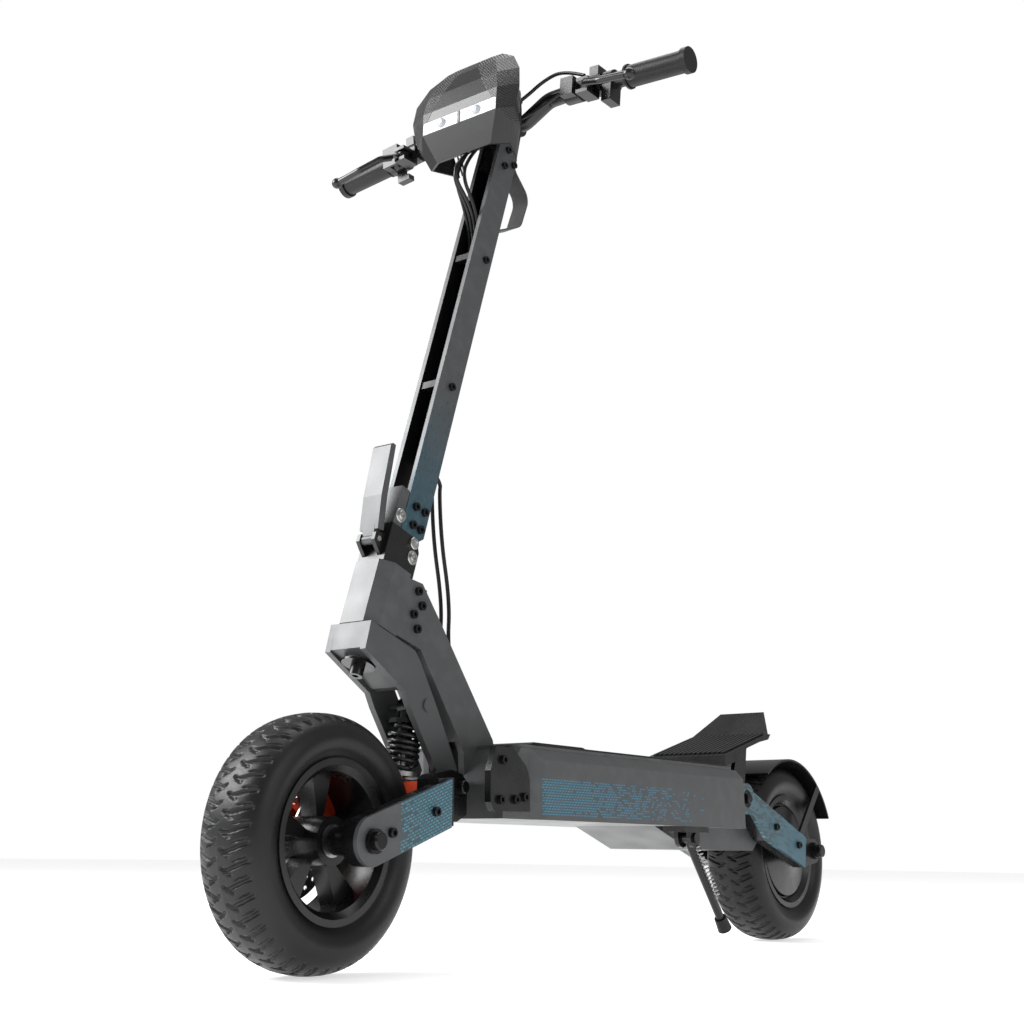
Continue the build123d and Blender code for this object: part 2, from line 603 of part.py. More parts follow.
# ================================================================ footrest and lamp
KICK_PLATE = [(-262, 249), (-400, 287), (-446, 324), (-449, 329), (-443, 329), (-399, 292), (-262, 254)]
KICK_FLANGE = [(-262, 239), (-316, 252), (-326, 266), (-350, 275), (-398, 284), (-406, 292), (-399, 292),
               (-262, 254)]
KICK_STRUT = [(-296, 219), (-310, 206), (-333, 212), (-346, 274.5), (-318, 266.5)]
KICK_TOE = [(-262, 222), (-282, 222), (-284, 257), (-262, 251)]
FOOTREST_HALF = 65.0
with BuildPart() as footrest:
    slab(KICK_PLATE, -FOOTREST_HALF, FOOTREST_HALF)
    for side in (1, -1):
        with BuildSketch(Plane.XY.offset(200)):
            with BuildLine():
                Polyline((-455, side * 30), (-398, side * FOOTREST_HALF), (-398, side * 80),
                         (-455, side * 80),
                         close=True)
            make_face()
        extrude(amount=140, mode=Mode.SUBTRACT)
        slab(KICK_FLANGE, side * (FOOTREST_HALF - 2.5) - 2.5, side * (FOOTREST_HALF - 2.5) + 2.5)
        slab(KICK_STRUT, side * 53 - 3, side * 53 + 3)
        slab(KICK_TOE, side * 53 - 3, side * 53 + 3)
    slab([(-262, 239), (-267, 240), (-267, 253), (-262, 254)], -FOOTREST_HALF, FOOTREST_HALF)
finish(footrest, "footrest")

with BuildPart() as tail_light:
    slab([(-444, 298), (-432, 290), (-421, 290), (-421, 300.2), (-441, 317.6)], -26, 26)
finish(tail_light, "tail_light")

# ================================================================ kickstand
KICK_FOOT = (-198.0, 32.0)
KICK_IN = 79.0
KICK_OUT = 91.0
KICK_PIN_R = 4.0
with BuildPart() as kickstand_bracket:
    block((-142, 68, 147), (-80, 101, DECK_LOW))
    block((-124, 73, 140), (-100, KICK_IN - 0.3, 147))
    block((-124, KICK_OUT + 0.3, 140), (-100, 97, 147))
    rod(KICK_PIVOT, 12, 73, KICK_IN - 0.3)
    rod(KICK_PIVOT, 12, KICK_OUT + 0.3, 97)
    rod(KICK_PIVOT, KICK_PIN_R, 71, 99)
    rod(KICK_PIVOT, 6.5, 97, 100)
finish(kickstand_bracket, "kickstand_bracket")

KICK_DX = KICK_FOOT[0] - KICK_PIVOT[0]
KICK_DZ = KICK_FOOT[1] - KICK_PIVOT[1]
KICK_LONG = (KICK_DX ** 2 + KICK_DZ ** 2) ** 0.5
KICK_ALONG = Plane(origin=(KICK_PIVOT[0], (KICK_IN + KICK_OUT) / 2, KICK_PIVOT[1]), x_dir=(0, 1, 0),
                   z_dir=(KICK_DX, 0, KICK_DZ))
with BuildPart() as kickstand_leg:
    rod(KICK_PIVOT, 6.7, KICK_IN, KICK_OUT)
    with BuildSketch(KICK_ALONG):
        Circle(5.5)
    extrude(amount=KICK_LONG - 12)
    rod(KICK_PIVOT, KICK_PIN_R + RUN_FIT, KICK_IN - 1, KICK_OUT + 1, mode=Mode.SUBTRACT)
finish(kickstand_leg, "kickstand_leg")

with BuildPart() as kickstand_foot:
    with BuildSketch(KICK_ALONG.offset(KICK_LONG - 12)):
        Circle(8)
    with BuildSketch(KICK_ALONG.offset(KICK_LONG + 6)):
        Circle(9.5)
    loft()
finish(kickstand_foot, "kickstand_foot")

# ================================================================ folding joint
FOLD_PIN = (FOLD_T, FOLD_S)
LATCH_PIN = (32.0, 100.0)
TONGUE_HALF = 8.9
TONGUE_R = 8.5
BLOCK_HIGH = 175.0
with BuildPart() as hinge_base:
    slab([(23, 78), (23, STEM_LOW - 0.5), (-19, STEM_LOW - 0.5), (-26, 119), (-30, 112), (-30, 78)],
         -20, 20, STEER_SIDE)
    slab([(-33, 91), (-33, STEM_LOW), (-10, STEM_LOW), (-10, 91)], -9, 9, STEER_SIDE, Mode.SUBTRACT)
    with BuildSketch(STEER.offset(78)):
        Circle(STEERER_R)
    extrude(amount=STEERER_TOP - 78, mode=Mode.SUBTRACT)
    with BuildSketch(STEER.offset(78)):
        Circle(5)
    extrude(amount=28, mode=Mode.SUBTRACT)
    rod(FOLD_PIN, FOLD_PIN_R, -20, 20, STEER_SIDE, Mode.SUBTRACT)
    for side in (1, -1):
        slab([(23, 84), (32, 90), (39, 96), (39, 105), (32, 108), (23, 112)], 11.5 * side - 2.5,
             11.5 * side + 2.5, STEER_SIDE)
    rod(LATCH_PIN, 3, -14, 14, STEER_SIDE, Mode.SUBTRACT)
finish(hinge_base, "hinge_base")

with BuildPart() as hinge_pins:
    rod(FOLD_PIN, FOLD_PIN_R, -20, 20, STEER_SIDE)
    rod(FOLD_PIN, 6, -21, -20, STEER_SIDE)
    rod(FOLD_PIN, 6, 20, 21, STEER_SIDE)
    rod(LATCH_PIN, 3, -15, 15, STEER_SIDE)
finish(hinge_pins, "hinge_pins")

with BuildPart() as latch_lever:
    slab([(28, 112), (38, 110), (46, 150), (52, 213), (49, 217), (44, 217), (36, 150)], -14, 14, STEER_SIDE)
    slab([(27.5, 101), (36.5, 101), (39, 114), (29, 115)], -8.8, 8.8, STEER_SIDE)
    rod(LATCH_PIN, 5.5, -8.8, 8.8, STEER_SIDE)
    rod(LATCH_PIN, 3 + RUN_FIT, -9, 9, STEER_SIDE, Mode.SUBTRACT)
finish(latch_lever, "latch_lever")

with BuildPart() as stem_hinge_block:
    slab([(7, STEM_LOW), (21, STEM_LOW), (21, BLOCK_HIGH), (7, BLOCK_HIGH)], -STEM_HALF, STEM_HALF,
         STEER_SIDE)
    slab([(STEM_REAR + 2, STEM_LOW + 3), (STEM_REAR + 8, STEM_LOW), (7, STEM_LOW), (7, BLOCK_HIGH),
          (STEM_REAR + 2, BLOCK_HIGH)], STEM_PLATE - STEM_HALF, STEM_HALF - STEM_PLATE, STEER_SIDE)
    slab([(FOLD_T - TONGUE_R, FOLD_S), (FOLD_T - TONGUE_R, STEM_LOW + 4), (FOLD_T + TONGUE_R, STEM_LOW + 4),
          (FOLD_T + TONGUE_R, FOLD_S)], -TONGUE_HALF, TONGUE_HALF, STEER_SIDE)
    rod(FOLD_PIN, TONGUE_R, -TONGUE_HALF, TONGUE_HALF, STEER_SIDE)
    rod(FOLD_PIN, FOLD_PIN_R + RUN_FIT, -TONGUE_HALF, TONGUE_HALF, STEER_SIDE, Mode.SUBTRACT)
finish(stem_hinge_block, "stem_hinge_block")

# ================================================================ stem
PLATE_OUTLINE = [(STEM_REAR, 133), (STEM_REAR + 7, STEM_LOW), (STEM_FRONT, STEM_LOW), (STEM_FRONT, STEM_TOP),
                 (-14, STEM_TOP + 18), (-26, STEM_TOP + 8), (STEM_REAR, STEM_TOP - 14)]
WEB_LOW = 250.0
WEB_TOP = 690.0
PLATE_IN = STEM_HALF - STEM_PLATE
RUNGS = (332.0, 534.0)
with BuildPart() as stem_frame:
    slab(PLATE_OUTLINE, PLATE_IN, STEM_HALF, STEER_SIDE)
    both_sides()
    slab([(STEM_REAR, WEB_LOW), (STEM_REAR + 4, WEB_LOW), (STEM_REAR + 4, WEB_TOP), (STEM_REAR, WEB_TOP)],
         -PLATE_IN, PLATE_IN, STEER_SIDE)
    for rung in RUNGS:
        slab([(-4, rung - 5), (4, rung - 5), (4, rung + 5), (-4, rung + 5)], -PLATE_IN, PLATE_IN, STEER_SIDE)
    rod((BAR_X, BAR_Z), CLAMP_R + 8, -STEM_HALF, STEM_HALF, mode=Mode.SUBTRACT)
finish(stem_frame, "stem_frame")

CLAMP_RING_R = 22.0
with BuildPart() as stem_top_block:
    slab([(STEM_REAR, WEB_TOP + 2), (STEM_FRONT - 2, WEB_TOP + 2), (STEM_FRONT - 2, STEM_TOP + 15),
          (STEM_REAR, STEM_TOP + 15)], -PLATE_IN, PLATE_IN, STEER_SIDE)
    rod((BAR_X, BAR_Z), CLAMP_RING_R, -STEM_HALF, STEM_HALF)
    rod((BAR_X, BAR_Z), CLAMP_R, -STEM_HALF, STEM_HALF, mode=Mode.SUBTRACT)
finish(stem_top_block, "stem_top_block")

STEM_BOLTS = [(-21, 542), (-17, 337), (-12, 731), (-12, 702), (-29, 717), (-8, 162), (-24, 163), (-10, 139),
              (-24, 140)]
with BuildPart() as stem_bolts:
    for bolt in STEM_BOLTS:
        rod(bolt, 5, STEM_HALF, STEM_HALF + 4, STEER_SIDE)
        rod(bolt, 2.5, STEM_HALF + 1.5, STEM_HALF + 4, STEER_SIDE, Mode.SUBTRACT)
    both_sides()
finish(stem_bolts, "stem_bolts")

# ================================================================ handlebar
BAR_BEND = 25.0
BAR_ROUTE = [(BAR_X, 0, BAR_Z), (BAR_X, 44, BAR_Z), (178, 82, 1099), (177, 112, 1099), (177, 300, 1082.2)]
BAR_SLOPE = Vector(0, 188, -16.8)
BAR_STRETCH = BAR_SLOPE.length / 188


def bar_plane(y):
    """Plane square to the outer run of the bar at this y; local y points down."""
    return Plane(origin=(177, y, 1099 - (y - 112) * 16.8 / 188), x_dir=(1, 0, 0), z_dir=BAR_SLOPE)


def bar_rod(y_low, y_high, radius, mode=Mode.ADD):
    """Cylinder on the outer run of the bar."""
    with BuildSketch(bar_plane(y_low)) as section:
        Circle(radius)
    extrude(section.sketch, amount=(y_high - y_low) * BAR_STRETCH, mode=mode)


def bar_box(y_low, y_high, low, high, mode=Mode.ADD):
    """Box set square to the outer run; low and high are (forward, up) from the bar's centre."""
    with BuildSketch(bar_plane(y_low)) as section:
        with BuildLine():
            Polyline((low[0], -low[1]), (high[0], -low[1]), (high[0], -high[1]), (low[0], -high[1]),
                     close=True)
        make_face()
    extrude(section.sketch, amount=(y_high - y_low) * BAR_STRETCH, mode=mode)


with BuildPart() as handlebar:
    with BuildLine() as bar_line:
        FilletPolyline(*BAR_ROUTE, radius=BAR_BEND)
    with BuildSketch(Plane(origin=(BAR_X, 0, BAR_Z), x_dir=(1, 0, 0), z_dir=(0, 1, 0))):
        Circle(BAR_R)
    sweep(path=bar_line.wires()[0])
    rod((BAR_X, BAR_Z), CLAMP_R, 0, 36)
    both_sides()
finish(handlebar, "handlebar")

with BuildPart() as grips:
    bar_rod(GRIP_IN_Y, BAR_END_Y - 6, 15)
    bar_rod(GRIP_IN_Y - 3, GRIP_IN_Y, 17)
    bar_rod(BAR_END_Y - 8, BAR_END_Y, 17.5)
    bar_rod(GRIP_IN_Y - 4, 300.9, BAR_R, Mode.SUBTRACT)
    both_sides()
finish(grips, "grips")

LEVER_PIVOT = (206.0, 161.0)
LEVER_PIN_R = 3.0
LEVER_Z = 1079.6
LEVER_HALF = 4.0
with BuildPart() as brake_perches:
    bar_rod(150, 172, 15.5)
    bar_box(152, 170, (8, -26), (17, -4))
    bar_box(152, 170, (8, -26), (38, -21))
    bar_box(152, 170, (8, -9), (38, -4))
    bar_box(154, 168, (-8, 8), (12, 24))
    bar_rod(149, 173, BAR_R, Mode.SUBTRACT)
    with BuildSketch(Plane.XY.offset(LEVER_Z - 8)) as lever_pin:
        with Locations(LEVER_PIVOT):
            Circle(LEVER_PIN_R)
    extrude(lever_pin.sketch, amount=14)
    both_sides()
finish(brake_perches, "brake_perches")

LEVER_ROUTE = [(LEVER_PIVOT[0], LEVER_PIVOT[1], LEVER_Z), (234, 178, 1068), (246, 208, 1054),
               (246, 252, 1047)]
LEVER_BEND = 12.0
LEVER_R = 5.0
LEVER_BALL_R = 8.0


def brake_lever(side, label):
    """Lever with a flat eye and a round blade that ends in a ball."""
    route = [(x, side * y, z) for x, y, z in LEVER_ROUTE]
    eye = (LEVER_PIVOT[0], side * LEVER_PIVOT[1])
    with BuildPart() as lever:
        with BuildLine() as lever_line:
            FilletPolyline(*route, radius=LEVER_BEND)
        start = Vector(*route[1]) - Vector(*route[0])
        with BuildSketch(Plane(origin=route[0], z_dir=start)):
            Circle(LEVER_R)
        sweep(path=lever_line.wires()[0])
        with BuildSketch(Plane.XY.offset(LEVER_Z + LEVER_HALF)) as above:
            with Locations(eye):
                Circle(16)
        extrude(above.sketch, amount=8, mode=Mode.SUBTRACT)
        with BuildSketch(Plane.XY.offset(LEVER_Z - LEVER_HALF - 8)) as under:
            with Locations(eye):
                Circle(16)
        extrude(under.sketch, amount=8, mode=Mode.SUBTRACT)
        with BuildSketch(Plane.XY.offset(LEVER_Z - LEVER_HALF)) as boss:
            with Locations(eye):
                Circle(7)
        extrude(boss.sketch, amount=2 * LEVER_HALF)
        with Locations(route[-1]):
            Sphere(LEVER_BALL_R)
        with BuildSketch(Plane.XY.offset(LEVER_Z - 10)) as bore:
            with Locations(eye):
                Circle(LEVER_PIN_R + RUN_FIT)
        extrude(bore.sketch, amount=20, mode=Mode.SUBTRACT)
    finish(lever, label)


brake_lever(1, "brake_lever_left")
brake_lever(-1, "brake_lever_right")

# switch pod beside the clamp, thumb switch by the left grip, throttle body by the right grip
THROTTLE_IN = 186.0
THROTTLE_OUT = 196.0
THROTTLE_R = 14.5
def throttle_body():
    """Body of the thumb throttle, drawn for the left side: a clamp with a slot for the lever's ring."""
    with BuildPart() as body:
        bar_rod(178, 206, 18)
        bar_box(178, 206, (2, -16), (22, 16))
        bar_rod(THROTTLE_IN, THROTTLE_OUT, 30, Mode.SUBTRACT)
        bar_rod(178, 206, THROTTLE_R)
        bar_box(THROTTLE_IN, THROTTLE_OUT, (18, -16), (22, 16))
        bar_rod(177, 207, BAR_R, Mode.SUBTRACT)
    return body.part


with BuildPart() as control_pods:
    bar_rod(112, 136, 16)
    bar_box(114, 134, (2, -13), (22, 13))
    bar_rod(176, 190, 15)
    bar_box(176, 190, (-12, -32), (13, -8))
    bar_rod(100, 200, BAR_R, Mode.SUBTRACT)
    bar_box(180.2, 185.8, (-14, -26.2), (-6, -19.8), Mode.SUBTRACT)
    add(throttle_body().mirror(Plane.XZ))
finish(control_pods, "control_pods")

with BuildPart() as horn_button:
    bar_box(180.5, 185.5, (-14.5, -25.9), (-8, -20.1))
finish(horn_button, "horn_button")


with BuildPart() as throttle_half:
    bar_rod(THROTTLE_IN + 0.4, THROTTLE_OUT - 0.4, 17)
    bar_box(THROTTLE_IN + 0.4, THROTTLE_OUT - 0.4, (-10, -34), (2, -10))
    bar_box(174, THROTTLE_OUT - 0.4, (-10, -36), (2, -28))
    bar_rod(THROTTLE_IN, THROTTLE_OUT, THROTTLE_R + RUN_FIT, Mode.SUBTRACT)
with BuildPart() as throttle_lever:
    add(throttle_half.part.mirror(Plane.XZ))
finish(throttle_lever, "throttle_lever")

# ================================================================ light housing
# plan outlines going up: front corner, cheek, flank and rear edge as (x, half width)
SHELL_LEVELS = [
    (1008, [(264, 46), (250, 68), (218, 54), (201, 44)]),
    (1050, [(275, 63), (263, 86), (225, 66), (201, 51)]),
    (1083, [(274, 64), (262, 93), (224, 64), (201, 51)]),
    (1110, [(268, 60), (258, 90), (222, 60), (200, 49)]),
    (1138, [(256, 48), (249, 74), (218, 46), (200, 32)]),
    (1156, [(242, 30), (240, 48), (214, 26), (202, 14)]),
    (1166, [(228, 12), (226, 20), (214, 12), (208, 6)]),
]
SHELL_THICK = 3.0


def shell_outline(half, z):
    """Symmetric eight sided outline at one height."""
    points = half + [(x, -y) for x, y in half[::-1]]
    with BuildSketch(Plane.XY.offset(z)) as outline:
        with BuildLine():
            Polyline(*points, close=True)
        make_face()
    return outline.sketch


def inset(half):
    """Outline moved in by the wall, and run out through the open back."""
    front, cheek, flank, back = half
    return [(front[0] - SHELL_THICK, front[1] - 2), (cheek[0] - 2, cheek[1] - SHELL_THICK),
            (flank[0], flank[1] - SHELL_THICK), (back[0] - 20, back[1] - SHELL_THICK)]


LENS_OUTLINE = [(264, 1051), (282, 1051), (282, 1068), (264, 1068)]
LENS_HALF = 62.0
with BuildPart() as light_housing:
    loft([shell_outline(half, z) for z, half in SHELL_LEVELS], ruled=True)
    hollow = [shell_outline(inset(half), z) for z, half in SHELL_LEVELS[:-1]]
    hollow[0] = shell_outline(inset(SHELL_LEVELS[0][1]), SHELL_LEVELS[0][0] - 1)
    loft(hollow, ruled=True, mode=Mode.SUBTRACT)
    slab([(196, 1070), (270, 1047), (269, 1037), (196, 1060)], -10, 10)
    rod((BAR_X, BAR_Z), CLAMP_RING_R, -30, 30, mode=Mode.SUBTRACT)
    slab(LENS_OUTLINE, -LENS_HALF, LENS_HALF, mode=Mode.SUBTRACT)
finish(light_housing, "light_housing")

with BuildPart() as headlight_lens:
    loft([shell_outline(half, z) for z, half in SHELL_LEVELS], ruled=True)
    slab(LENS_OUTLINE, -LENS_HALF, LENS_HALF, mode=Mode.INTERSECT)
finish(headlight_lens, "headlight_lens")

DISPLAY_OUTLINE = [(200, 1119), (166, 1117), (162, 1123), (182, 1147), (200, 1154)]
with BuildPart() as display:
    slab(DISPLAY_OUTLINE, -25, 25)
finish(display, "display")

# ================================================================ strap and cables
def bend_radius(points, label):
    """Largest radius that fits every corner of a route."""
    radius = 1000.0
    for before, corner, after in zip(points, points[1:], points[2:]):
        run_in = Vector(*corner) - Vector(*before)
        run_out = Vector(*after) - Vector(*corner)
        half_turn = radians(run_in.get_angle(run_out) / 2)
        radius = min(radius, 0.45 * min(run_in.length, run_out.length) / tan(half_turn))
    print(label, "bend radius", round(radius, 1))
    return radius


def at_y(points, y):
    """Side view points placed at one y."""
    return [(x, y, z) for x, z in points]


STRAP_THICK = 2.0
STRAP_WIDE = 25.0
STRAP_T = STEM_REAR - STRAP_THICK / 2
STRAP_ROUTE = at_y([head_xz(STRAP_T, 752), head_xz(STRAP_T, 722), (131, 988), (151, 938),
                    head_xz(STRAP_T, 606),
                    head_xz(STRAP_T, 578)], 0)
with BuildPart() as strap:
    with BuildLine() as strap_line:
        FilletPolyline(*STRAP_ROUTE, radius=bend_radius(STRAP_ROUTE, "strap"))
    with BuildSketch(Plane(origin=STRAP_ROUTE[0], x_dir=(0, 1, 0), z_dir=(SIN_R, 0, -COS_R))):
        Rectangle(STRAP_WIDE, STRAP_THICK)
    sweep(path=strap_line.wires()[0])
finish(strap, "strap")

CABLE_R = 2.4


def cable(route, label):
    """Round cable along a route."""
    with BuildLine() as cable_line:
        FilletPolyline(*route, radius=bend_radius(route, label))
    start = Vector(*route[1]) - Vector(*route[0])
    with BuildSketch(Plane(origin=route[0], z_dir=start)) as section:
        Circle(CABLE_R)
    sweep(section.sketch, path=cable_line.wires()[0])


CHANNEL_T = -17.0
with BuildPart() as stem_cables:
    for row, (bow, y) in enumerate([(272, -8.4), (286, -2.8), (293, 2.8), (279, 8.4)]):
        cable(at_y([(238, 1026), (252, 1008), (bow, 968), head_xz(14, 618), head_xz(CHANNEL_T, 566),
                    head_xz(CHANNEL_T - 1, 262), head_xz(-27, 238)], y), "stem cable " + str(row + 1))
    for side in (1, -1):
        cable([(206, 34 * side, 1092), (196, 52 * side, 1104), (192, 84 * side, 1122),
               (190, 116 * side, 1126),
               (191, 147.5 * side, 1109)], "brake cable")
        cable([(212, 30 * side, 1062), (202, 58 * side, 1070), (197, 88 * side, 1082),
               (193, 110.5 * side, 1093)],
              "switch cable")
finish(stem_cables, "stem_cables")

with BuildPart() as rear_cables:
    for side in (1, -1):
        cable(at_y([head_xz(-23, 232), head_xz(-56, 212), (300, 474), (285, 410), (291, 350), (277, 308),
                    (262, 292)], 6 * side), "rear cable")
finish(rear_cables, "rear_cables")

# ================================================================ frame bolts
JOINT_BOLTS = [(306, 215), (311, 173), (284, 174), (267, 177)]
HEAD_BOLTS = [(-33, 64), (-44, 51), (-34, 36), (-45, 23)]
with BuildPart() as frame_bolts:
    for bolt in JOINT_BOLTS:
        rod(bolt, 5, DECK_NOSE_HALF + 8, DECK_NOSE_HALF + 12)
        rod(bolt, 2.5, DECK_NOSE_HALF + 9.5, DECK_NOSE_HALF + 12, mode=Mode.SUBTRACT)
    for bolt in HEAD_BOLTS:
        rod(bolt, 5, FORK_HALF, FORK_HALF + 4, STEER_SIDE)
        rod(bolt, 2.5, FORK_HALF + 1.5, FORK_HALF + 4, STEER_SIDE, Mode.SUBTRACT)
    both_sides()
finish(frame_bolts, "frame_bolts")
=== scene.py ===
import math

import bmesh
import bpy
from mathutils import Matrix, Vector


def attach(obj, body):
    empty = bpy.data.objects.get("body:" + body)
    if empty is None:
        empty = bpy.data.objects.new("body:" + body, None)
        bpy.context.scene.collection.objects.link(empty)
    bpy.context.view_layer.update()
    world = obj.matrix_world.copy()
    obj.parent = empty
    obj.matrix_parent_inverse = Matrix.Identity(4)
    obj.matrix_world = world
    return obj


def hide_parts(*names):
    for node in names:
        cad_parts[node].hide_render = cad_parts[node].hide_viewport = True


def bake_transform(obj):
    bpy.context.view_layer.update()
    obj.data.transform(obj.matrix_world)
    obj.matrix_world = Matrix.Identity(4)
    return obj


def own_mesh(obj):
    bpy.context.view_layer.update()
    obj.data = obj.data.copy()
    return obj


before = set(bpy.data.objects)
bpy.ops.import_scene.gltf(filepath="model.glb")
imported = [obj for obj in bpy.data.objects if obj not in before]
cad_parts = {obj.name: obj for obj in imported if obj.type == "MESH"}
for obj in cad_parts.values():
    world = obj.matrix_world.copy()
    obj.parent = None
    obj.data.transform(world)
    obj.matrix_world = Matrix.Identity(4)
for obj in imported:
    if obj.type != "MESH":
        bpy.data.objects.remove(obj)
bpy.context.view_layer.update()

# ---------------------------------------------------------------- places shared with the CAD
FRONT_AXLE = Vector((0.4975, 0, 0.1275))
REAR_AXLE = Vector((-0.4975, 0, 0.1275))
HEAD = Vector((0.425, 0, 0.347))
RAKE = math.radians(18)
AHEAD = Vector((math.cos(RAKE), 0, math.sin(RAKE)))
ALONG = Vector((-math.sin(RAKE), 0, math.cos(RAKE)))


def head(t, s, y=0.0):
    """Point t ahead of the steering axis, s up along it and y to the left, in millimetres."""
    return HEAD + AHEAD * (t / 1000) + ALONG * (s / 1000) + Vector((0, y / 1000, 0))


def mm(x, y, z):
    return Vector((x, y, z)) / 1000


# ---------------------------------------------------------------- material tools
class Nodes:
    """Short calls for one material's node tree."""

    def __init__(self, name):
        self.mat = bpy.data.materials.new(name)
        self.mat.use_nodes = True
        self.tree = self.mat.node_tree
        self.shader = self.tree.nodes["Principled BSDF"]
        self.coord = self.add("ShaderNodeTexCoord").outputs["Object"]

    def add(self, kind, **settings):
        node = self.tree.nodes.new(kind)
        for key, value in settings.items():
            setattr(node, key, value)
        return node

    def link(self, source, target):
        self.tree.links.new(source, target)

    def feed(self, socket, value):
        if isinstance(value, bpy.types.NodeSocket):
            self.link(value, socket)
        else:
            socket.default_value = value

    def math(self, operation, a, b=0.0, clamp=False):
        node = self.add("ShaderNodeMath", operation=operation, use_clamp=clamp)
        self.feed(node.inputs[0], a)
        self.feed(node.inputs[1], b)
        return node.outputs[0]

    def dot(self, vector, direction):
        node = self.add("ShaderNodeVectorMath", operation="DOT_PRODUCT")
        self.feed(node.inputs[0], vector)
        node.inputs[1].default_value = direction
        return node.outputs["Value"]

    def noise(self, scale, detail=3.0, rough=0.5, vector=None, stretch=None):
        node = self.add("ShaderNodeTexNoise")
        node.inputs["Scale"].default_value = scale
        node.inputs["Detail"].default_value = detail
        node.inputs["Roughness"].default_value = rough
        source = vector or self.coord
        if stretch:
            mapping = self.add("ShaderNodeMapping")
            mapping.inputs["Scale"].default_value = stretch
            self.link(source, mapping.inputs["Vector"])
            source = mapping.outputs[0]
        self.link(source, node.inputs["Vector"])
        return node.outputs["Fac"]

    def ramp(self, value, low, high, low_out=0.0, high_out=1.0):
        node = self.add("ShaderNodeMapRange")
        node.inputs["From Min"].default_value = low
        node.inputs["From Max"].default_value = high
        node.inputs["To Min"].default_value = low_out
        node.inputs["To Max"].default_value = high_out
        self.feed(node.inputs["Value"], value)
        return node.outputs[0]

    def mix(self, fac, a, b):
        node = self.add("ShaderNodeMix", data_type="RGBA")
        self.feed(node.inputs["Factor"], fac)
        self.feed(node.inputs["A"], a)
        self.feed(node.inputs["B"], b)
        return node.outputs["Result"]

    def bump(self, height, strength, distance, under=None):
        node = self.add("ShaderNodeBump")
        node.inputs["Strength"].default_value = strength
        node.inputs["Distance"].default_value = distance
        self.link(height, node.inputs["Height"])
        if under:
            self.link(under, node.inputs["Normal"])
        return node.outputs[0]


def shade(colour, factor):
    return tuple(min(1.0, c * factor) for c in colour[:3]) + (1.0,)


def edges_of(n, low=0.50, high=0.58):
    """Bright along outside edges."""
    geometry = n.add("ShaderNodeNewGeometry")
    return n.ramp(geometry.outputs["Pointiness"], low, high)


def coat(name, colour, rough=0.42, metallic=0.0, grain=1400.0, grain_strength=0.08, wear=0.12, blotch=0.04):
    """Powder coat: fine orange peel, slight patches, lighter rubbed edges."""
    n = Nodes(name)
    patches = n.noise(9.0, 4.0)
    tone = n.mix(n.ramp(patches, 0.3, 0.7), shade(colour, 1 - blotch), shade(colour, 1 + blotch))
    fine = n.noise(grain, 2.0)
    speckle = n.mix(n.ramp(fine, 0.35, 0.7), tone, shade(colour, 1.12))
    worn = n.math("MULTIPLY", edges_of(n), n.ramp(n.noise(60.0, 5.0), 0.45, 0.7), clamp=True)
    worn = n.math("MULTIPLY", worn, wear)
    n.link(n.mix(worn, speckle, shade(colour, 2.6)), n.shader.inputs["Base Color"])
    n.link(n.ramp(n.noise(30.0, 4.0), 0.3, 0.7, rough - 0.05, rough + 0.07), n.shader.inputs["Roughness"])
    n.shader.inputs["Metallic"].default_value = metallic
    n.link(n.bump(fine, grain_strength, 0.0004), n.shader.inputs["Normal"])
    return n


DASH_PITCH = 0.0058
DASH_ROW = 0.0029


def dashes(n, under, along, across, offset, start, end, colour_a, colour_b):
    """Short printed dashes in rows that thin out from start to end, measured along a direction."""
    run = n.math("SUBTRACT", n.dot(n.coord, along), offset)
    side = n.dot(n.coord, across)
    row = n.math("FLOOR", n.math("MULTIPLY", side, 1 / DASH_ROW))
    shift = n.math("FRACT", n.math("MULTIPLY", row, 0.618))
    cell_at = n.math("ADD", n.math("MULTIPLY", run, 1 / DASH_PITCH), shift)
    cell = n.math("FLOOR", cell_at)
    pack = n.add("ShaderNodeCombineXYZ")
    n.link(cell, pack.inputs[0])
    n.link(row, pack.inputs[1])
    white = n.add("ShaderNodeTexWhiteNoise", noise_dimensions="2D")
    n.link(pack.outputs[0], white.inputs["Vector"])
    fade = n.ramp(run, start, end, 1.0, -0.05)
    there = n.math("LESS_THAN", white.outputs["Value"], fade)
    inside = n.math("MULTIPLY", n.math("LESS_THAN", n.math("FRACT", cell_at), 0.74),
                    n.math("LESS_THAN", n.math("FRACT", n.math("MULTIPLY", side, 1 / DASH_ROW)), 0.52))
    mask = n.math("MULTIPLY", there, inside)
    ink = n.mix(white.outputs["Value"], colour_a, colour_b)
    return n.mix(n.math("MULTIPLY", mask, 0.85), under, ink)


TEAL = (0.06, 0.26, 0.34, 1)
DECK_BLUE = (0.05, 0.20, 0.32, 1)
GREY = (0.075, 0.077, 0.079)
ORANGE = (0.60, 0.050, 0.010)
PALE_TEAL = (0.10, 0.30, 0.38, 1)
TINT = (0.030, 0.085, 0.115, 1)


def between(n, value, low, high, soft=0.001):
    """One inside a band, nothing outside it."""
    return n.math("MULTIPLY", n.ramp(value, low - soft, low), n.ramp(value, high, high + soft, 1.0, 0.0))


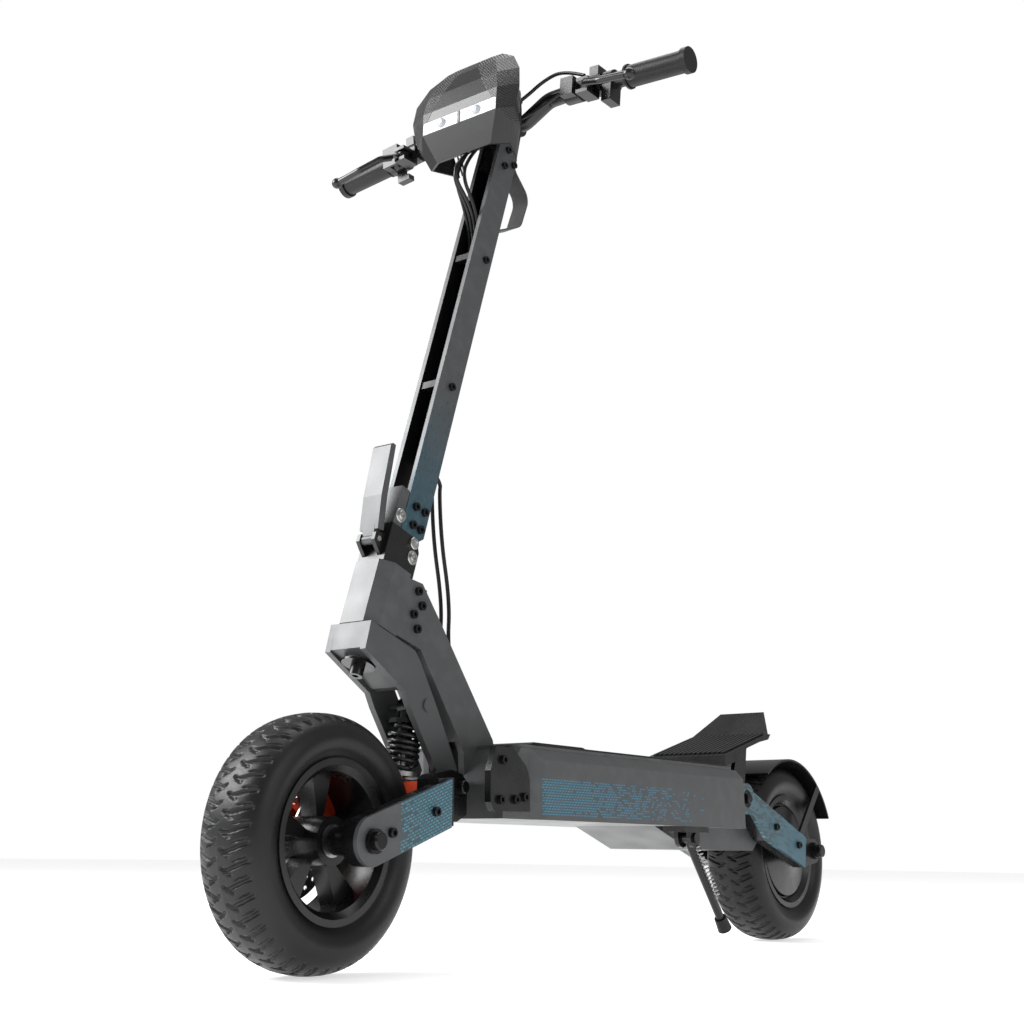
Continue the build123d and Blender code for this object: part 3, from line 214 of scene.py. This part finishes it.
def printed_coat(name, along, across, offset, fade, band, inks, tint=0.0, outside=0.0, ends=(-1, 2)):
    """Grey coat with printed dashes in a band, over a tinted ground that fades with them."""
    n = coat(name, GREY, 0.38, 0.3)
    plain = n.shader.inputs["Base Color"].links[0].from_socket
    run = n.math("SUBTRACT", n.dot(n.coord, along), offset)
    part = n.add("ShaderNodeSeparateXYZ")
    n.link(n.coord, part.inputs[0])
    wide = n.math("ABSOLUTE", part.outputs[1])
    in_band = between(n, n.dot(n.coord, across), *band)
    where = n.math("MULTIPLY", in_band, n.ramp(wide, outside - 0.001, outside))
    where = n.math("MULTIPLY", where, between(n, part.outputs[0], *ends))
    if tint:
        ground = n.math("MULTIPLY", n.ramp(run, fade[0], fade[1], tint, 0.0), where, clamp=True)
        plain = n.mix(ground, plain, TINT)
    ink = dashes(n, plain, along, across, offset, fade[0], fade[1], *inks)
    n.link(n.mix(where, plain, ink), n.shader.inputs["Base Color"])
    return n


def stem_paint():
    """Tinted outer plates, with painted shade: the channel between them is painted near black."""
    n = printed_coat("stem_coat", tuple(ALONG), tuple(AHEAD), HEAD.dot(ALONG) + 0.126, (0.02, 0.21), (-9, 9),
                     ((0.022, 0.062, 0.085, 1), (0.05, 0.13, 0.17, 1)), tint=0.75, outside=0.0172)
    skin = n.shader.inputs["Base Color"].links[0].from_socket
    part = n.add("ShaderNodeSeparateXYZ")
    n.link(n.coord, part.inputs[0])
    # painted shade: faces within 12.3 mm of the middle, inside the channel, are painted near black
    channel_shade = n.ramp(n.math("ABSOLUTE", part.outputs[1]), 0.0123, 0.0126, 1.0, 0.0)
    n.link(n.mix(channel_shade, skin, (0.004, 0.004, 0.0045, 1)), n.shader.inputs["Base Color"])
    return n.mat


frame_grey = coat("frame_coat", GREY, 0.36, 0.3).mat
black_coat = coat("black_coat", (0.004, 0.004, 0.0045), 0.26, 0.0, wear=0.1).mat
orange_coat = coat("orange_coat", ORANGE, 0.34, 0.2, wear=0.1).mat
stem_coat = stem_paint()
front_cover_coat = printed_coat("front_cover_coat", (0.949, 0, -0.316), (0.316, 0, 0.949), 0.30,
                                (0.05, 0.19), (-9, 9),
                                (PALE_TEAL, (0.06, 0.19, 0.26, 1)), tint=0.6, outside=0.079,
                                ends=(0.352, 0.456)).mat
rear_cover_coat = printed_coat("rear_cover_coat", (0.950, 0, 0.312), (-0.312, 0, 0.950), -0.45,
                               (0.05, 0.36), (-9, 9),
                               (PALE_TEAL, (0.05, 0.17, 0.25, 1)), tint=0.9, outside=0.079).mat
deck_coat = printed_coat("deck_coat", (-1, 0, 0), (0, 0, 1), -0.20, (0.02, 0.36), (0.160, 0.198),
                         (DECK_BLUE, TEAL), tint=0.35, outside=0.1015).mat


def steel(name, colour, rough, stretch=(1, 1, 1), scale=120.0, metallic=1.0, strength=0.12):
    """Machined or brushed metal: fine drawn lines and small stains."""
    n = Nodes(name)
    lines = n.noise(scale, 6.0, 0.65, stretch=stretch)
    stain = n.noise(14.0, 4.0)
    tone = n.mix(n.ramp(lines, 0.3, 0.7), shade(colour, 0.84), shade(colour, 1.12))
    n.link(n.mix(n.ramp(stain, 0.55, 0.75), tone, shade(colour, 0.72)), n.shader.inputs["Base Color"])
    n.shader.inputs["Metallic"].default_value = metallic
    n.link(n.ramp(lines, 0.2, 0.8, rough - 0.07, rough + 0.1), n.shader.inputs["Roughness"])
    n.link(n.bump(lines, strength, 0.0003), n.shader.inputs["Normal"])
    return n.mat


bare_steel = steel("bare_steel", (0.50, 0.50, 0.49), 0.30)
machined = steel("machined_rim", (0.36, 0.365, 0.37), 0.34, scale=260.0)
black_steel = steel("black_steel", (0.008, 0.008, 0.009), 0.22, metallic=0.4)
spring_steel = steel("spring_steel", (0.02, 0.02, 0.022), 0.26, metallic=0.3, strength=0.05)


def rubber(name, colour, rough, scale, strength, distance=0.0006):
    """Matte rubber with a moulded grain and pale dust in noise patches."""
    n = Nodes(name)
    grain = n.noise(scale, 4.0, 0.6)
    dust = n.ramp(n.noise(22.0, 5.0), 0.42, 0.75)
    tone = n.mix(n.math("MULTIPLY", dust, 0.45), shade(colour, 1.0), shade(colour, 2.1))
    n.link(tone, n.shader.inputs["Base Color"])
    n.link(n.ramp(grain, 0.3, 0.7, rough - 0.06, rough + 0.08), n.shader.inputs["Roughness"])
    n.shader.inputs["Specular IOR Level"].default_value = 0.35
    n.link(n.bump(grain, strength, distance), n.shader.inputs["Normal"])
    return n.mat


tyre_rubber = rubber("tyre_rubber", (0.0045, 0.0045, 0.005), 0.40, 520.0, 0.2)
grip_rubber = rubber("grip_rubber", (0.004, 0.004, 0.0045), 0.38, 900.0, 0.25)
soft_rubber = rubber("soft_rubber", (0.006, 0.006, 0.0065), 0.48, 700.0, 0.2)
cable_jacket = rubber("cable_jacket", (0.004, 0.004, 0.0045), 0.30, 420.0, 0.1)


def mat_rubber():
    """Deck mat: small raised studs in a close grid."""
    n = Nodes("mat_rubber")
    part = n.add("ShaderNodeSeparateXYZ")
    n.link(n.coord, part.inputs[0])
    pitch = 0.0062
    wave_x = n.math("SINE", n.math("MULTIPLY", part.outputs[0], 2 * math.pi / pitch))
    wave_y = n.math("SINE", n.math("MULTIPLY", part.outputs[1], 2 * math.pi / pitch))
    studs = n.ramp(n.math("MULTIPLY", wave_x, wave_y), 0.1, 0.5)
    grain = n.noise(800.0, 3.0)
    dust = n.ramp(n.noise(12.0, 5.0), 0.4, 0.75)
    base = n.mix(n.math("MULTIPLY", dust, 0.4), (0.014, 0.014, 0.015, 1), (0.034, 0.034, 0.035, 1))
    tone = n.mix(n.math("MULTIPLY", studs, 0.5), base, (0.022, 0.022, 0.023, 1))
    n.link(tone, n.shader.inputs["Base Color"])
    n.shader.inputs["Roughness"].default_value = 0.62
    fine = n.bump(grain, 0.2, 0.0004)
    n.link(n.bump(studs, 0.55, 0.0012, fine), n.shader.inputs["Normal"])
    return n.mat


def plastic(name, colour, rough, grain=1100.0, strength=0.12):
    """Moulded plastic with a spark-eroded grain."""
    n = Nodes(name)
    fine = n.noise(grain, 3.0)
    patch = n.noise(16.0, 4.0)
    tone = n.mix(n.ramp(patch, 0.3, 0.7), shade(colour, 0.88), shade(colour, 1.15))
    n.link(tone, n.shader.inputs["Base Color"])
    n.link(n.ramp(fine, 0.3, 0.7, rough - 0.05, rough + 0.08), n.shader.inputs["Roughness"])
    n.link(n.bump(fine, strength, 0.0004), n.shader.inputs["Normal"])
    return n


def carbon_hatch(n, plain, where):
    """Fine slanted ribs over part of a moulding."""
    lines = n.dot(n.coord, (0.2, 1.0, 1.0))
    saw = n.math("FRACT", n.math("MULTIPLY", lines, 1 / 0.0042))
    ribs = n.ramp(n.math("ABSOLUTE", n.math("SUBTRACT", saw, 0.5)), 0.16, 0.30)
    return n.mix(n.math("MULTIPLY", where, ribs), plain, (0.0015, 0.0015, 0.0015, 1)), ribs


deck_rubber = mat_rubber()
black_plastic = plastic("black_plastic", (0.004, 0.004, 0.0045), 0.30).mat


def housing_material():
    n = plastic("housing_plastic", (0.010, 0.0102, 0.011), 0.30, 1500.0, 0.05)
    plain = n.shader.inputs["Base Color"].links[0].from_socket
    part = n.add("ShaderNodeSeparateXYZ")
    n.link(n.coord, part.inputs[0])
    wide = n.math("ABSOLUTE", part.outputs[1])
    slant = n.math("ADD", wide, n.math("MULTIPLY", part.outputs[2], 0.55))
    above = n.math("GREATER_THAN", part.outputs[2], 1.035)
    corner = n.math("MULTIPLY", n.ramp(slant, 0.6435, 0.6445), above)
    corner = n.math("MULTIPLY", corner, n.math("GREATER_THAN", part.outputs[0], 0.222))
    colour, ribs = carbon_hatch(n, plain, corner)
    n.link(colour, n.shader.inputs["Base Color"])
    under = n.shader.inputs["Normal"].links[0].from_socket
    n.link(n.bump(n.math("MULTIPLY", ribs, corner), 0.5, 0.0008, under), n.shader.inputs["Normal"])
    return n.mat


housing_plastic = housing_material()


def lens_material(name, colour, rough, painted_glow):
    """Moulded light cover with fine vertical flutes, and a painted glow from emission."""
    n = Nodes(name)
    part = n.add("ShaderNodeSeparateXYZ")
    n.link(n.coord, part.inputs[0])
    flutes = n.math("SINE", n.math("MULTIPLY", part.outputs[1], 2 * math.pi / 0.004))
    patch = n.noise(45.0, 3.0)
    tone = n.mix(n.ramp(patch, 0.3, 0.7), shade(colour, 0.93), shade(colour, 1.05))
    n.link(tone, n.shader.inputs["Base Color"])
    n.link(n.ramp(patch, 0.3, 0.7, rough, rough + 0.08), n.shader.inputs["Roughness"])
    n.shader.inputs["Coat Weight"].default_value = 0.6
    n.shader.inputs["Emission Color"].default_value = shade(colour, 1.0)
    # painted glow: emission makes the covers and the horn button shine with no lamp lit behind them
    n.shader.inputs["Emission Strength"].default_value = painted_glow
    n.link(n.bump(flutes, 0.12, 0.0005), n.shader.inputs["Normal"])
    return n.mat


white_lens = lens_material("white_lens", (0.86, 0.87, 0.88), 0.18, 0.22)
red_lens = lens_material("red_lens", (0.50, 0.012, 0.010), 0.15, 0.05)


def webbing():
    n = Nodes("webbing")
    part = n.add("ShaderNodeSeparateXYZ")
    n.link(n.coord, part.inputs[0])
    warp = n.math("SINE", n.math("MULTIPLY", part.outputs[1], 2 * math.pi / 0.0016))
    weft = n.math("SINE", n.math("MULTIPLY", part.outputs[2], 2 * math.pi / 0.0020))
    weave = n.math("MULTIPLY", warp, weft)
    n.link(n.mix(n.ramp(weave, -1, 1), (0.008, 0.008, 0.009, 1), (0.028, 0.028, 0.03, 1)),
           n.shader.inputs["Base Color"])
    n.shader.inputs["Roughness"].default_value = 0.8
    n.shader.inputs["Sheen Weight"].default_value = 0.25
    n.link(n.bump(weave, 0.6, 0.0005), n.shader.inputs["Normal"])
    return n.mat


web_cloth = webbing()
battery_wrap = plastic("battery_wrap", (0.03, 0.08, 0.2), 0.5).mat
screen_glass = plastic("screen_glass", (0.006, 0.006, 0.008), 0.08, 300.0, 0.01).mat

clear_glass = lens_material("clear_glass", (0.42, 0.44, 0.47), 0.06, 0.0)

NODE_MATERIAL = {
    frame_grey: "neck_yoke head_tube deck_lid rear_subframe fork stem_hinge_block latch_lever",
    deck_coat: "deck_tray",
    stem_coat: "stem_frame",
    front_cover_coat: "front_arm_covers",
    rear_cover_coat: "rear_arm_covers",
    black_coat: "deck_joint_plates kickstand_bracket kickstand_leg hinge_base front_arm rear_arm "
                "stem_top_block handlebar brake_perches brake_lever_left brake_lever_right rear_rim "
                "front_rim footrest",
    orange_coat: "front_arm_bridge front_caliper",
    machined: "motor_controller",
    bare_steel: "headset_bearings front_bearings front_disc front_damper_rod hinge_pins",
    black_steel: "frame_bolts stem_bolts steerer_bolt front_pivot_axle rear_pivot_axle front_axle rear_axle "
                 "front_damper_body",
    spring_steel: "front_spring",
    tyre_rubber: "front_tyre rear_tyre",
    grip_rubber: "grips torsion_rubber kickstand_foot",
    deck_rubber: "deck_mat",
    black_plastic: "rear_mudguard display control_pods throttle_lever",
    housing_plastic: "light_housing",
    white_lens: "headlight_lens",
    red_lens: "tail_light horn_button",
    battery_wrap: "battery_pack",
    web_cloth: "strap",
    cable_jacket: "rear_cables stem_cables",
}
BEVELS = {
    0.0012: "neck_yoke head_tube deck_tray footrest fork stem_frame stem_hinge_block front_arm rear_arm "
            "front_arm_covers rear_arm_covers deck_joint_plates rear_subframe hinge_base front_arm_bridge",
    0.0008: "deck_lid stem_top_block kickstand_bracket latch_lever front_caliper brake_perches "
            "rear_mudguard control_pods throttle_lever display tail_light light_housing front_rim rear_rim",
    0.0005: "frame_bolts stem_bolts steerer_bolt front_pivot_axle rear_pivot_axle front_axle "
            "rear_axle hinge_pins",
}
for material, names in NODE_MATERIAL.items():
    for name in names.split():
        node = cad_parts[name]
        node.data.materials.clear()
        node.data.materials.append(material)
for width, names in BEVELS.items():
    for name in names.split():
        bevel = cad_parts[name].modifiers.new("soft_edges", "BEVEL")
        bevel.width = width
        bevel.segments = 2
        bevel.limit_method = "ANGLE"
        bevel.angle_limit = math.radians(28)
        bevel.harden_normals = True


# ---------------------------------------------------------------- mesh tools
def to_object(name, verts, faces, material, body, smooth=True):
    mesh = bpy.data.meshes.new(name)
    mesh.from_pydata([tuple(v) for v in verts], [], faces)
    mesh.validate()
    work = bmesh.new()
    work.from_mesh(mesh)
    bmesh.ops.remove_doubles(work, verts=work.verts, dist=1e-6)
    bmesh.ops.recalc_face_normals(work, faces=work.faces)
    work.to_mesh(mesh)
    work.free()
    for poly in mesh.polygons:
        poly.use_smooth = smooth
    mesh.materials.append(material)
    piece = bpy.data.objects.new(name, mesh)
    bpy.context.scene.collection.objects.link(piece)
    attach(piece, body)
    return piece


def grid_faces(rows, cols, wrap_rows=True, wrap_cols=True):
    faces = []
    for i in range(rows if wrap_rows else rows - 1):
        for j in range(cols if wrap_cols else cols - 1):
            a = i * cols + j
            b = i * cols + (j + 1) % cols
            c = ((i + 1) % rows) * cols + (j + 1) % cols
            d = ((i + 1) % rows) * cols + j
            faces.append((a, b, c, d))
    return faces


def sample_profile(points, step):
    """Points along a polyline through Catmull-Rom spans, about one step apart."""
    out = []
    count = len(points)
    for i in range(count - 1):
        p0 = Vector(points[max(i - 1, 0)])
        p1 = Vector(points[i])
        p2 = Vector(points[i + 1])
        p3 = Vector(points[min(i + 2, count - 1)])
        parts = max(1, round((p2 - p1).length / step))
        for k in range(parts):
            t = k / parts
            out.append(0.5 * ((2 * p1) + (p2 - p0) * t + (2 * p0 - 5 * p1 + 4 * p2 - p3) * t * t
                              + (3 * p1 - p0 - 3 * p2 + p3) * t ** 3))
    out.append(Vector(points[-1]))
    return out


def wheel_point(axle, along, radius, angle):
    return axle + Vector((radius * math.cos(angle), along, radius * math.sin(angle)))


# ---------------------------------------------------------------- tyres
CROWN = [(0, 127.4), (14, 126.4), (26, 123.6), (34, 119), (39.5, 112.5), (42.6, 104), (42.9, 98), (41.2, 91),
         (38, 85.8), (35.2, 82.6), (34.2, 80), (34.2, 78.2)]
LINING = [(34.2, 78.0), (27.2, 78.0), (29.5, 86), (34.5, 94), (35, 103), (31, 113), (16, 118.5), (0, 119.2)]
PITCHES = 46
ACROSS_PITCH = 22


def groove_depth(turn, y):
    """Depth of the tread cut at a turn counted in pitches and a distance from the middle, in mm."""
    wide = abs(y)
    side = 0.0 if y > 0 else 0.5
    depth = 0.0
    phase = (turn + side - wide * 0.020) % 1.0
    if 7 < wide < 35:
        edge = min(1.0, (wide - 7) / 2, (35 - wide) / 3)
        depth = max(depth, edge * (1.0 if phase < 0.24 else 0.0))
    phase = (turn + side + 0.5 + wide * 0.035) % 1.0
    if 2.5 < wide < 15:
        depth = max(depth, 1.0 if phase < 0.20 else 0.0)
    if 20 < wide < 32 and (turn + side + 0.62 - wide * 0.020) % 1.0 < 0.09:
        depth = max(depth, 0.7)
    return 2.6 * depth


def build_tyre(name, axle, body, node):
    half = sample_profile([(a / 1000, b / 1000) for a, b in CROWN], 0.0022)
    lining = [Vector((a / 1000, b / 1000)) for a, b in LINING]
    ring = half + lining
    section = ring + [Vector((-p[0], p[1])) for p in reversed(ring[1:-1])]
    rows = PITCHES * ACROSS_PITCH
    verts = []
    for i in range(rows):
        turn = i / ACROSS_PITCH
        angle = 2 * math.pi * i / rows
        for k, p in enumerate(section):
            outer = k < len(half) or k > len(section) - len(half)
            radius = p[1]
            if outer and radius > 0.106:
                radius -= groove_depth(turn, p[0] * 1000) / 1000
            verts.append(wheel_point(axle, p[0], radius, angle))
    tyre = to_object(name, verts, grid_faces(rows, len(section)), tyre_rubber, body)
    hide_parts(node)
    return tyre


build_tyre("front_tyre_tread", FRONT_AXLE, "front_wheel", "front_tyre")
build_tyre("rear_tyre_tread", REAR_AXLE, "rear_wheel", "rear_tyre")


# ---------------------------------------------------------------- tubes and coils
def tube(name, path, radius, material, body, around=14):
    """Round tube along sampled points."""
    verts = []
    up = Vector((0, 1, 0.01)).normalized()
    for i, p in enumerate(path):
        ahead = (path[min(i + 1, len(path) - 1)] - path[max(i - 1, 0)]).normalized()
        side = up.cross(ahead).normalized()
        other = ahead.cross(side).normalized()
        for k in range(around):
            a = 2 * math.pi * k / around
            verts.append(p + side * (radius * math.cos(a)) + other * (radius * math.sin(a)))
    faces = grid_faces(len(path), around, wrap_rows=False)
    faces.append(tuple(range(around)))
    last = (len(path) - 1) * around
    faces.append(tuple(last + k for k in range(around)))
    return to_object(name, verts, faces, material, body)


SHOCK_TOP = mm(354, 0, 273)
SHOCK_LOW = mm(362, 0, 184)
shock_dir = (SHOCK_LOW - SHOCK_TOP).normalized()
shock_long = (SHOCK_LOW - SHOCK_TOP).length
shock_side = shock_dir.cross(Vector((0, 1, 0))).normalized()
coil_path = []
COIL_TURNS = 6.2
COIL_R = 0.0163
COIL_STEPS = 240
coil_from = 0.0229
coil_to = shock_long - 0.0199
for i in range(COIL_STEPS + 1):
    f = i / COIL_STEPS
    a = 2 * math.pi * COIL_TURNS * f
    ease = f + 0.035 * math.sin(2 * math.pi * f)
    centre = SHOCK_TOP + shock_dir * (coil_from + (coil_to - coil_from) * ease)
    coil_path.append(centre + shock_side * (COIL_R * math.cos(a)) + Vector((0, COIL_R * math.sin(a), 0)))
coil = tube("front_coil", coil_path, 0.0026, spring_steel, "damper_upper", 12)
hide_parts("front_spring")
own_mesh(coil)


def line_mesh(line):
    """The mesh that a curve object gives."""
    bpy.context.view_layer.update()
    return bpy.data.meshes.new_from_object(line.evaluated_get(bpy.context.evaluated_depsgraph_get()))


def hanging_cable(name, points, radius, material, body=None, steps=16):
    """Cable on a smooth NURBS line through control points."""
    curve = bpy.data.curves.new(name + "_line", "CURVE")
    curve.dimensions = "3D"
    curve.resolution_u = steps
    spline = curve.splines.new("NURBS")
    spline.points.add(len(points) - 1)
    for point, place in zip(spline.points, points):
        point.co = (*place, 1)
    spline.order_u = 3
    spline.use_endpoint_u = True
    line = bpy.data.objects.new(name + "_line", curve)
    bpy.context.scene.collection.objects.link(line)
    middle = line_mesh(line)
    curve.bevel_depth = radius
    curve.bevel_resolution = 4
    curve.use_fill_caps = True
    mesh = line_mesh(line)
    bpy.data.objects.remove(line)
    bpy.data.meshes.remove(middle)
    mesh.name = name
    mesh.materials.clear()
    mesh.materials.append(material)
    for poly in mesh.polygons:
        poly.use_smooth = True
    piece = bpy.data.objects.new(name, mesh)
    bpy.context.scene.collection.objects.link(piece)
    if body:
        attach(piece, body)
    return piece


# ---------------------------------------------------------------- cables
def cable_run(x_shift, y):
    places = [mm(240, y, 1026), mm(256 + x_shift / 2, y, 1004), mm(270 + x_shift, y, 968), head(14, 612, y),
              head(-9, 580, y), head(-17, 545, y), head(-18, 400, y), head(-17, 262, y), head(-27, 238, y)]
    return places


cables = [hanging_cable(f"stem_cable_{i}", cable_run(shift, y), 0.0024, cable_jacket, "stem")
          for i, (shift, y) in enumerate([(0, -8.4), (14, -2.8), (21, 2.8), (7, 8.4)])]
for side, label in ((1, "left"), (-1, "right")):
    brake_line = [mm(206, 34 * side, 1090), mm(196, 52 * side, 1104), mm(192, 84 * side, 1124),
                  mm(190, 116 * side, 1128), mm(191, 149 * side, 1108)]
    switch_line = [mm(212, 30 * side, 1062), mm(202, 58 * side, 1069), mm(197, 88 * side, 1081),
                   mm(193, 111.5 * side, 1093)]
    cables.append(hanging_cable(f"{label}_brake_cable", brake_line, 0.0025, cable_jacket, "stem"))
    cables.append(hanging_cable(f"{label}_switch_cable", switch_line, 0.002, cable_jacket, "stem"))
for cable in cables:
    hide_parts("stem_cables")
for side, label in ((1, "left"), (-1, "right")):
    y = 6 * side
    low_line = [mm(262, y, 292), mm(276, y, 306), mm(290, y, 348), mm(287, y, 400), mm(297, y, 440)]
    high_line = [mm(297, y, 440), mm(304, y, 468), mm(310, y, 530), head(-52, 222, y), head(-23, 232, y)]
    lower = hanging_cable(f"{label}_rear_cable_low", low_line, 0.0024, cable_jacket)
    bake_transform(lower)
    upper = hanging_cable(f"{label}_rear_cable_high", high_line, 0.0024, cable_jacket)
    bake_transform(upper)
    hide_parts("rear_cables")
    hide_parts("rear_cables")


# ---------------------------------------------------------------- turned and boxed details
def lathe(name, centre, axis, profile, material, body, around=36):
    """Turned piece: profile points are radius and distance out along the axis, in millimetres."""
    axis = Vector(axis).normalized()
    side = axis.cross(Vector((0, 0.3, 1))).normalized()
    other = axis.cross(side)
    verts = []
    for radius, out in profile:
        for k in range(around):
            a = 2 * math.pi * k / around
            spoke = side * math.cos(a) + other * math.sin(a)
            verts.append(centre + axis * (out / 1000) + spoke * (radius / 1000))
    faces = grid_faces(len(profile), around, wrap_rows=False)
    faces.append(tuple(range(around)))
    faces.append(tuple((len(profile) - 1) * around + k for k in range(around)))
    piece = to_object(name, verts, faces, material, body, smooth=False)
    return piece


# distance from the middle to the outer faces that carry the screws, in millimetres
STEM_SIDE = 17.9
BASE_SIDE = 19.9
COVER_SIDE = 85.0
# turned profiles: radius and distance out, in millimetres
WASHER_SCREW = [(8.4, 0), (8.4, 0.9), (7.6, 1.7), (5.4, 1.7), (5.4, 3.4), (4.8, 4.2), (2.6, 4.3), (2.6, 1.8)]
ADJUSTER = [(7.2, 0), (7.2, 2.8), (6.4, 3.6), (4.2, 3.8), (3.6, 2.4), (1.6, 2.4)]
PROJECTOR = [(7.4, 0), (7.4, 1.6), (6.4, 2.0), (5.6, 3.4), (3.4, 4.6), (0.6, 5.0)]
CAP_SCREW = [(5.0, 0), (5.0, 4.4), (4.4, 5.0), (2.6, 5.0), (2.6, 2.6)]
for side, label in ((1, "left"), (-1, "right")):
    out = (0, side, 0)
    lathe(f"{label}_block_screw", head(12, 140, side * STEM_SIDE), out, WASHER_SCREW, bare_steel, "stem")
    lathe(f"{label}_pin_screw", head(-21, 102, side * BASE_SIDE), out, WASHER_SCREW, bare_steel, "steerer")
    lathe(f"{label}_adjuster", head(-17, 118, side * BASE_SIDE), out, ADJUSTER, bare_steel, "steerer")
    for i, (x, z) in enumerate([(471, 136), (403, 158)]):
        lathe(f"{label}_front_cover_screw_{i}", mm(x, side * COVER_SIDE, z), out, CAP_SCREW, black_steel,
              "front_swing")
    for i, (x, z) in enumerate([(-366, 159), (-434, 135)]):
        lathe(f"{label}_rear_cover_screw_{i}", mm(x, side * COVER_SIDE, z), out, CAP_SCREW, black_steel,
              "rear_swing")
    lathe(f"{label}_projector", mm(274.2, side * 30, 1059.5), (1, 0, 0),
          PROJECTOR, clear_glass, "stem")


def bars(name, boxes, material, body):
    """Rows of boxes in one piece: each box is eight corners, low four and then high four."""
    verts = []
    faces = []
    for corners in boxes:
        a = len(verts)
        verts.extend(corners)
        faces += [(a, a + 1, a + 2, a + 3), (a + 4, a + 7, a + 6, a + 5)]
        faces += [(a + k, a + 4 + k, a + 4 + (k + 1) % 4, a + (k + 1) % 4) for k in range(4)]
    piece = to_object(name, verts, faces, material, body, smooth=False)
    return piece


PAD_LOW = Vector((-0.272, 0, 0.2569))
PAD_HIGH = Vector((-0.396, 0, 0.2913))
PAD_UP = Vector((0.267, 0, 0.964)) * 0.0022
PAD_RIBS = 15
PAD_WIDE = 0.119
RIB_HALF = 0.0026
RIB_SINK = PAD_UP * -0.4
ribs = []
for i in range(PAD_RIBS):
    y = PAD_WIDE * ((i + 0.5) / PAD_RIBS - 0.5)
    near = Vector((0, y - RIB_HALF, 0))
    far = Vector((0, y + RIB_HALF, 0))
    base = [PAD_LOW + near, PAD_LOW + far, PAD_HIGH + far, PAD_HIGH + near]
    ribs.append([p + RIB_SINK for p in base] + [p + PAD_UP for p in base])
bars("footrest_ribs", ribs, soft_rubber, "frame")
divider = [mm(x, y, z) for z in (1051.2, 1067.8) for x, y in ((272, -2), (276.2, -2), (276.2, 2), (272, 2))]
bars("lens_divider", [divider], black_plastic, "stem")
for side, label in ((1, "left"), (-1, "right")):
    for row, inward in enumerate((2.0, 7.0)):
        edge = [(203 + inward, 44.4, 1010), (203 + inward, 51.6 + inward * 0.6, 1050),
                (203 + inward, 51.8 + inward * 0.6, 1083), (202 + inward, 49.6 + inward * 0.6, 1110)]
        places = [mm(x, side * y, z) for x, y, z in edge]
        piping = tube(f"{label}_piping_{row}", places, 0.0013, black_plastic, "stem", 10)


def stand_spring():
    """Return coil beside the stand's leg."""
    top = mm(-118, 96, 131)
    end = mm(-168, 96, 68)
    ahead = (end - top).normalized()
    side = ahead.cross(Vector((0, 1, 0))).normalized()
    turns = 14
    steps = 180
    radius = 0.0032
    path = []
    for i in range(steps + 1):
        a = 2 * math.pi * turns * i / steps
        around = side * (radius * math.cos(a)) + Vector((0, radius * math.sin(a), 0))
        path.append(top.lerp(end, i / steps) + around)
    spring = tube("stand_spring", path, 0.0008, bare_steel, "kickstand", 8)


stand_spring()


# ---------------------------------------------------------------- camera
def aim_camera():
    yaw = math.radians(219.08)
    pitch = math.radians(19.07)
    roll = math.radians(0.73)
    forward = Vector((math.cos(pitch) * math.cos(yaw), math.cos(pitch) * math.sin(yaw), math.sin(pitch)))
    right = forward.cross(Vector((0, 0, 1))).normalized()
    up = right.cross(forward)
    side = right * math.cos(roll) + up * math.sin(roll)
    top = up * math.cos(roll) - right * math.sin(roll)
    data = bpy.data.cameras.new("camera")
    data.sensor_width = 36
    data.lens = 49.52
    data.shift_x = 0.0539
    data.shift_y = -0.1417
    data.clip_start = 0.02
    data.clip_end = 60
    camera = bpy.data.objects.new("camera", data)
    bpy.context.scene.collection.objects.link(camera)
    turn = Matrix((side, top, -forward)).transposed().to_4x4()
    camera.matrix_world = Matrix.Translation((1.5855, 1.0667, 0.1168)) @ turn
    bpy.context.scene.camera = camera


aim_camera()


# ---------------------------------------------------------------- floor and light
def backdrop():
    n = Nodes("floor_paint")
    patch = n.noise(1.2, 3.0)
    n.link(n.mix(patch, (0.90, 0.90, 0.90, 1), (0.94, 0.94, 0.94, 1)), n.shader.inputs["Base Color"])
    n.shader.inputs["Roughness"].default_value = 0.9
    n.shader.inputs["Emission Color"].default_value = (1, 1, 1, 1)
    n.shader.inputs["Emission Strength"].default_value = 0.6
    reach = 14.0
    verts = [(-reach, -reach, 0), (reach, -reach, 0), (reach, reach, 0), (-reach, reach, 0)]
    mesh = bpy.data.meshes.new("floor")
    mesh.from_pydata(verts, [], [(0, 1, 2, 3)])
    mesh.materials.append(n.mat)
    floor = bpy.data.objects.new("floor", mesh)
    bpy.context.scene.collection.objects.link(floor)
    floor.location.z = -0.0005


def soft_light(name, place, target, size, power, colour=(1, 1, 1)):
    data = bpy.data.lights.new(name, "AREA")
    data.shape = "RECTANGLE"
    data.size, data.size_y = size
    data.energy = power
    data.color = colour
    lamp = bpy.data.objects.new(name, data)
    bpy.context.scene.collection.objects.link(lamp)
    lamp.location = place
    lamp.rotation_euler = (Vector(target) - Vector(place)).to_track_quat("-Z", "Y").to_euler()
    return lamp


backdrop()
soft_light("key", (2.5, -2.7, 2.7), (0.3, 0, 0.5), (2.6, 2.2), 230)
soft_light("side", (0.2, 4.2, 2.2), (0, 0, 0.5), (2.6, 1.8), 30)
soft_light("over", (-0.4, 0.0, 4.0), (0, 0, 0.3), (2.6, 2.6), 60)
world = bpy.data.worlds.new("studio")
world.use_nodes = True
sky = world.node_tree
background = sky.nodes["Background"]
background.inputs["Color"].default_value = (1, 1, 1, 1)
seen = sky.nodes.new("ShaderNodeLightPath")
level = sky.nodes.new("ShaderNodeMapRange")
level.inputs["To Min"].default_value = 0.34
level.inputs["To Max"].default_value = 1.0
sky.links.new(seen.outputs["Is Camera Ray"], level.inputs["Value"])
sky.links.new(level.outputs[0], background.inputs["Strength"])
bpy.context.scene.world = world
bpy.context.scene.view_settings.view_transform = "Standard"
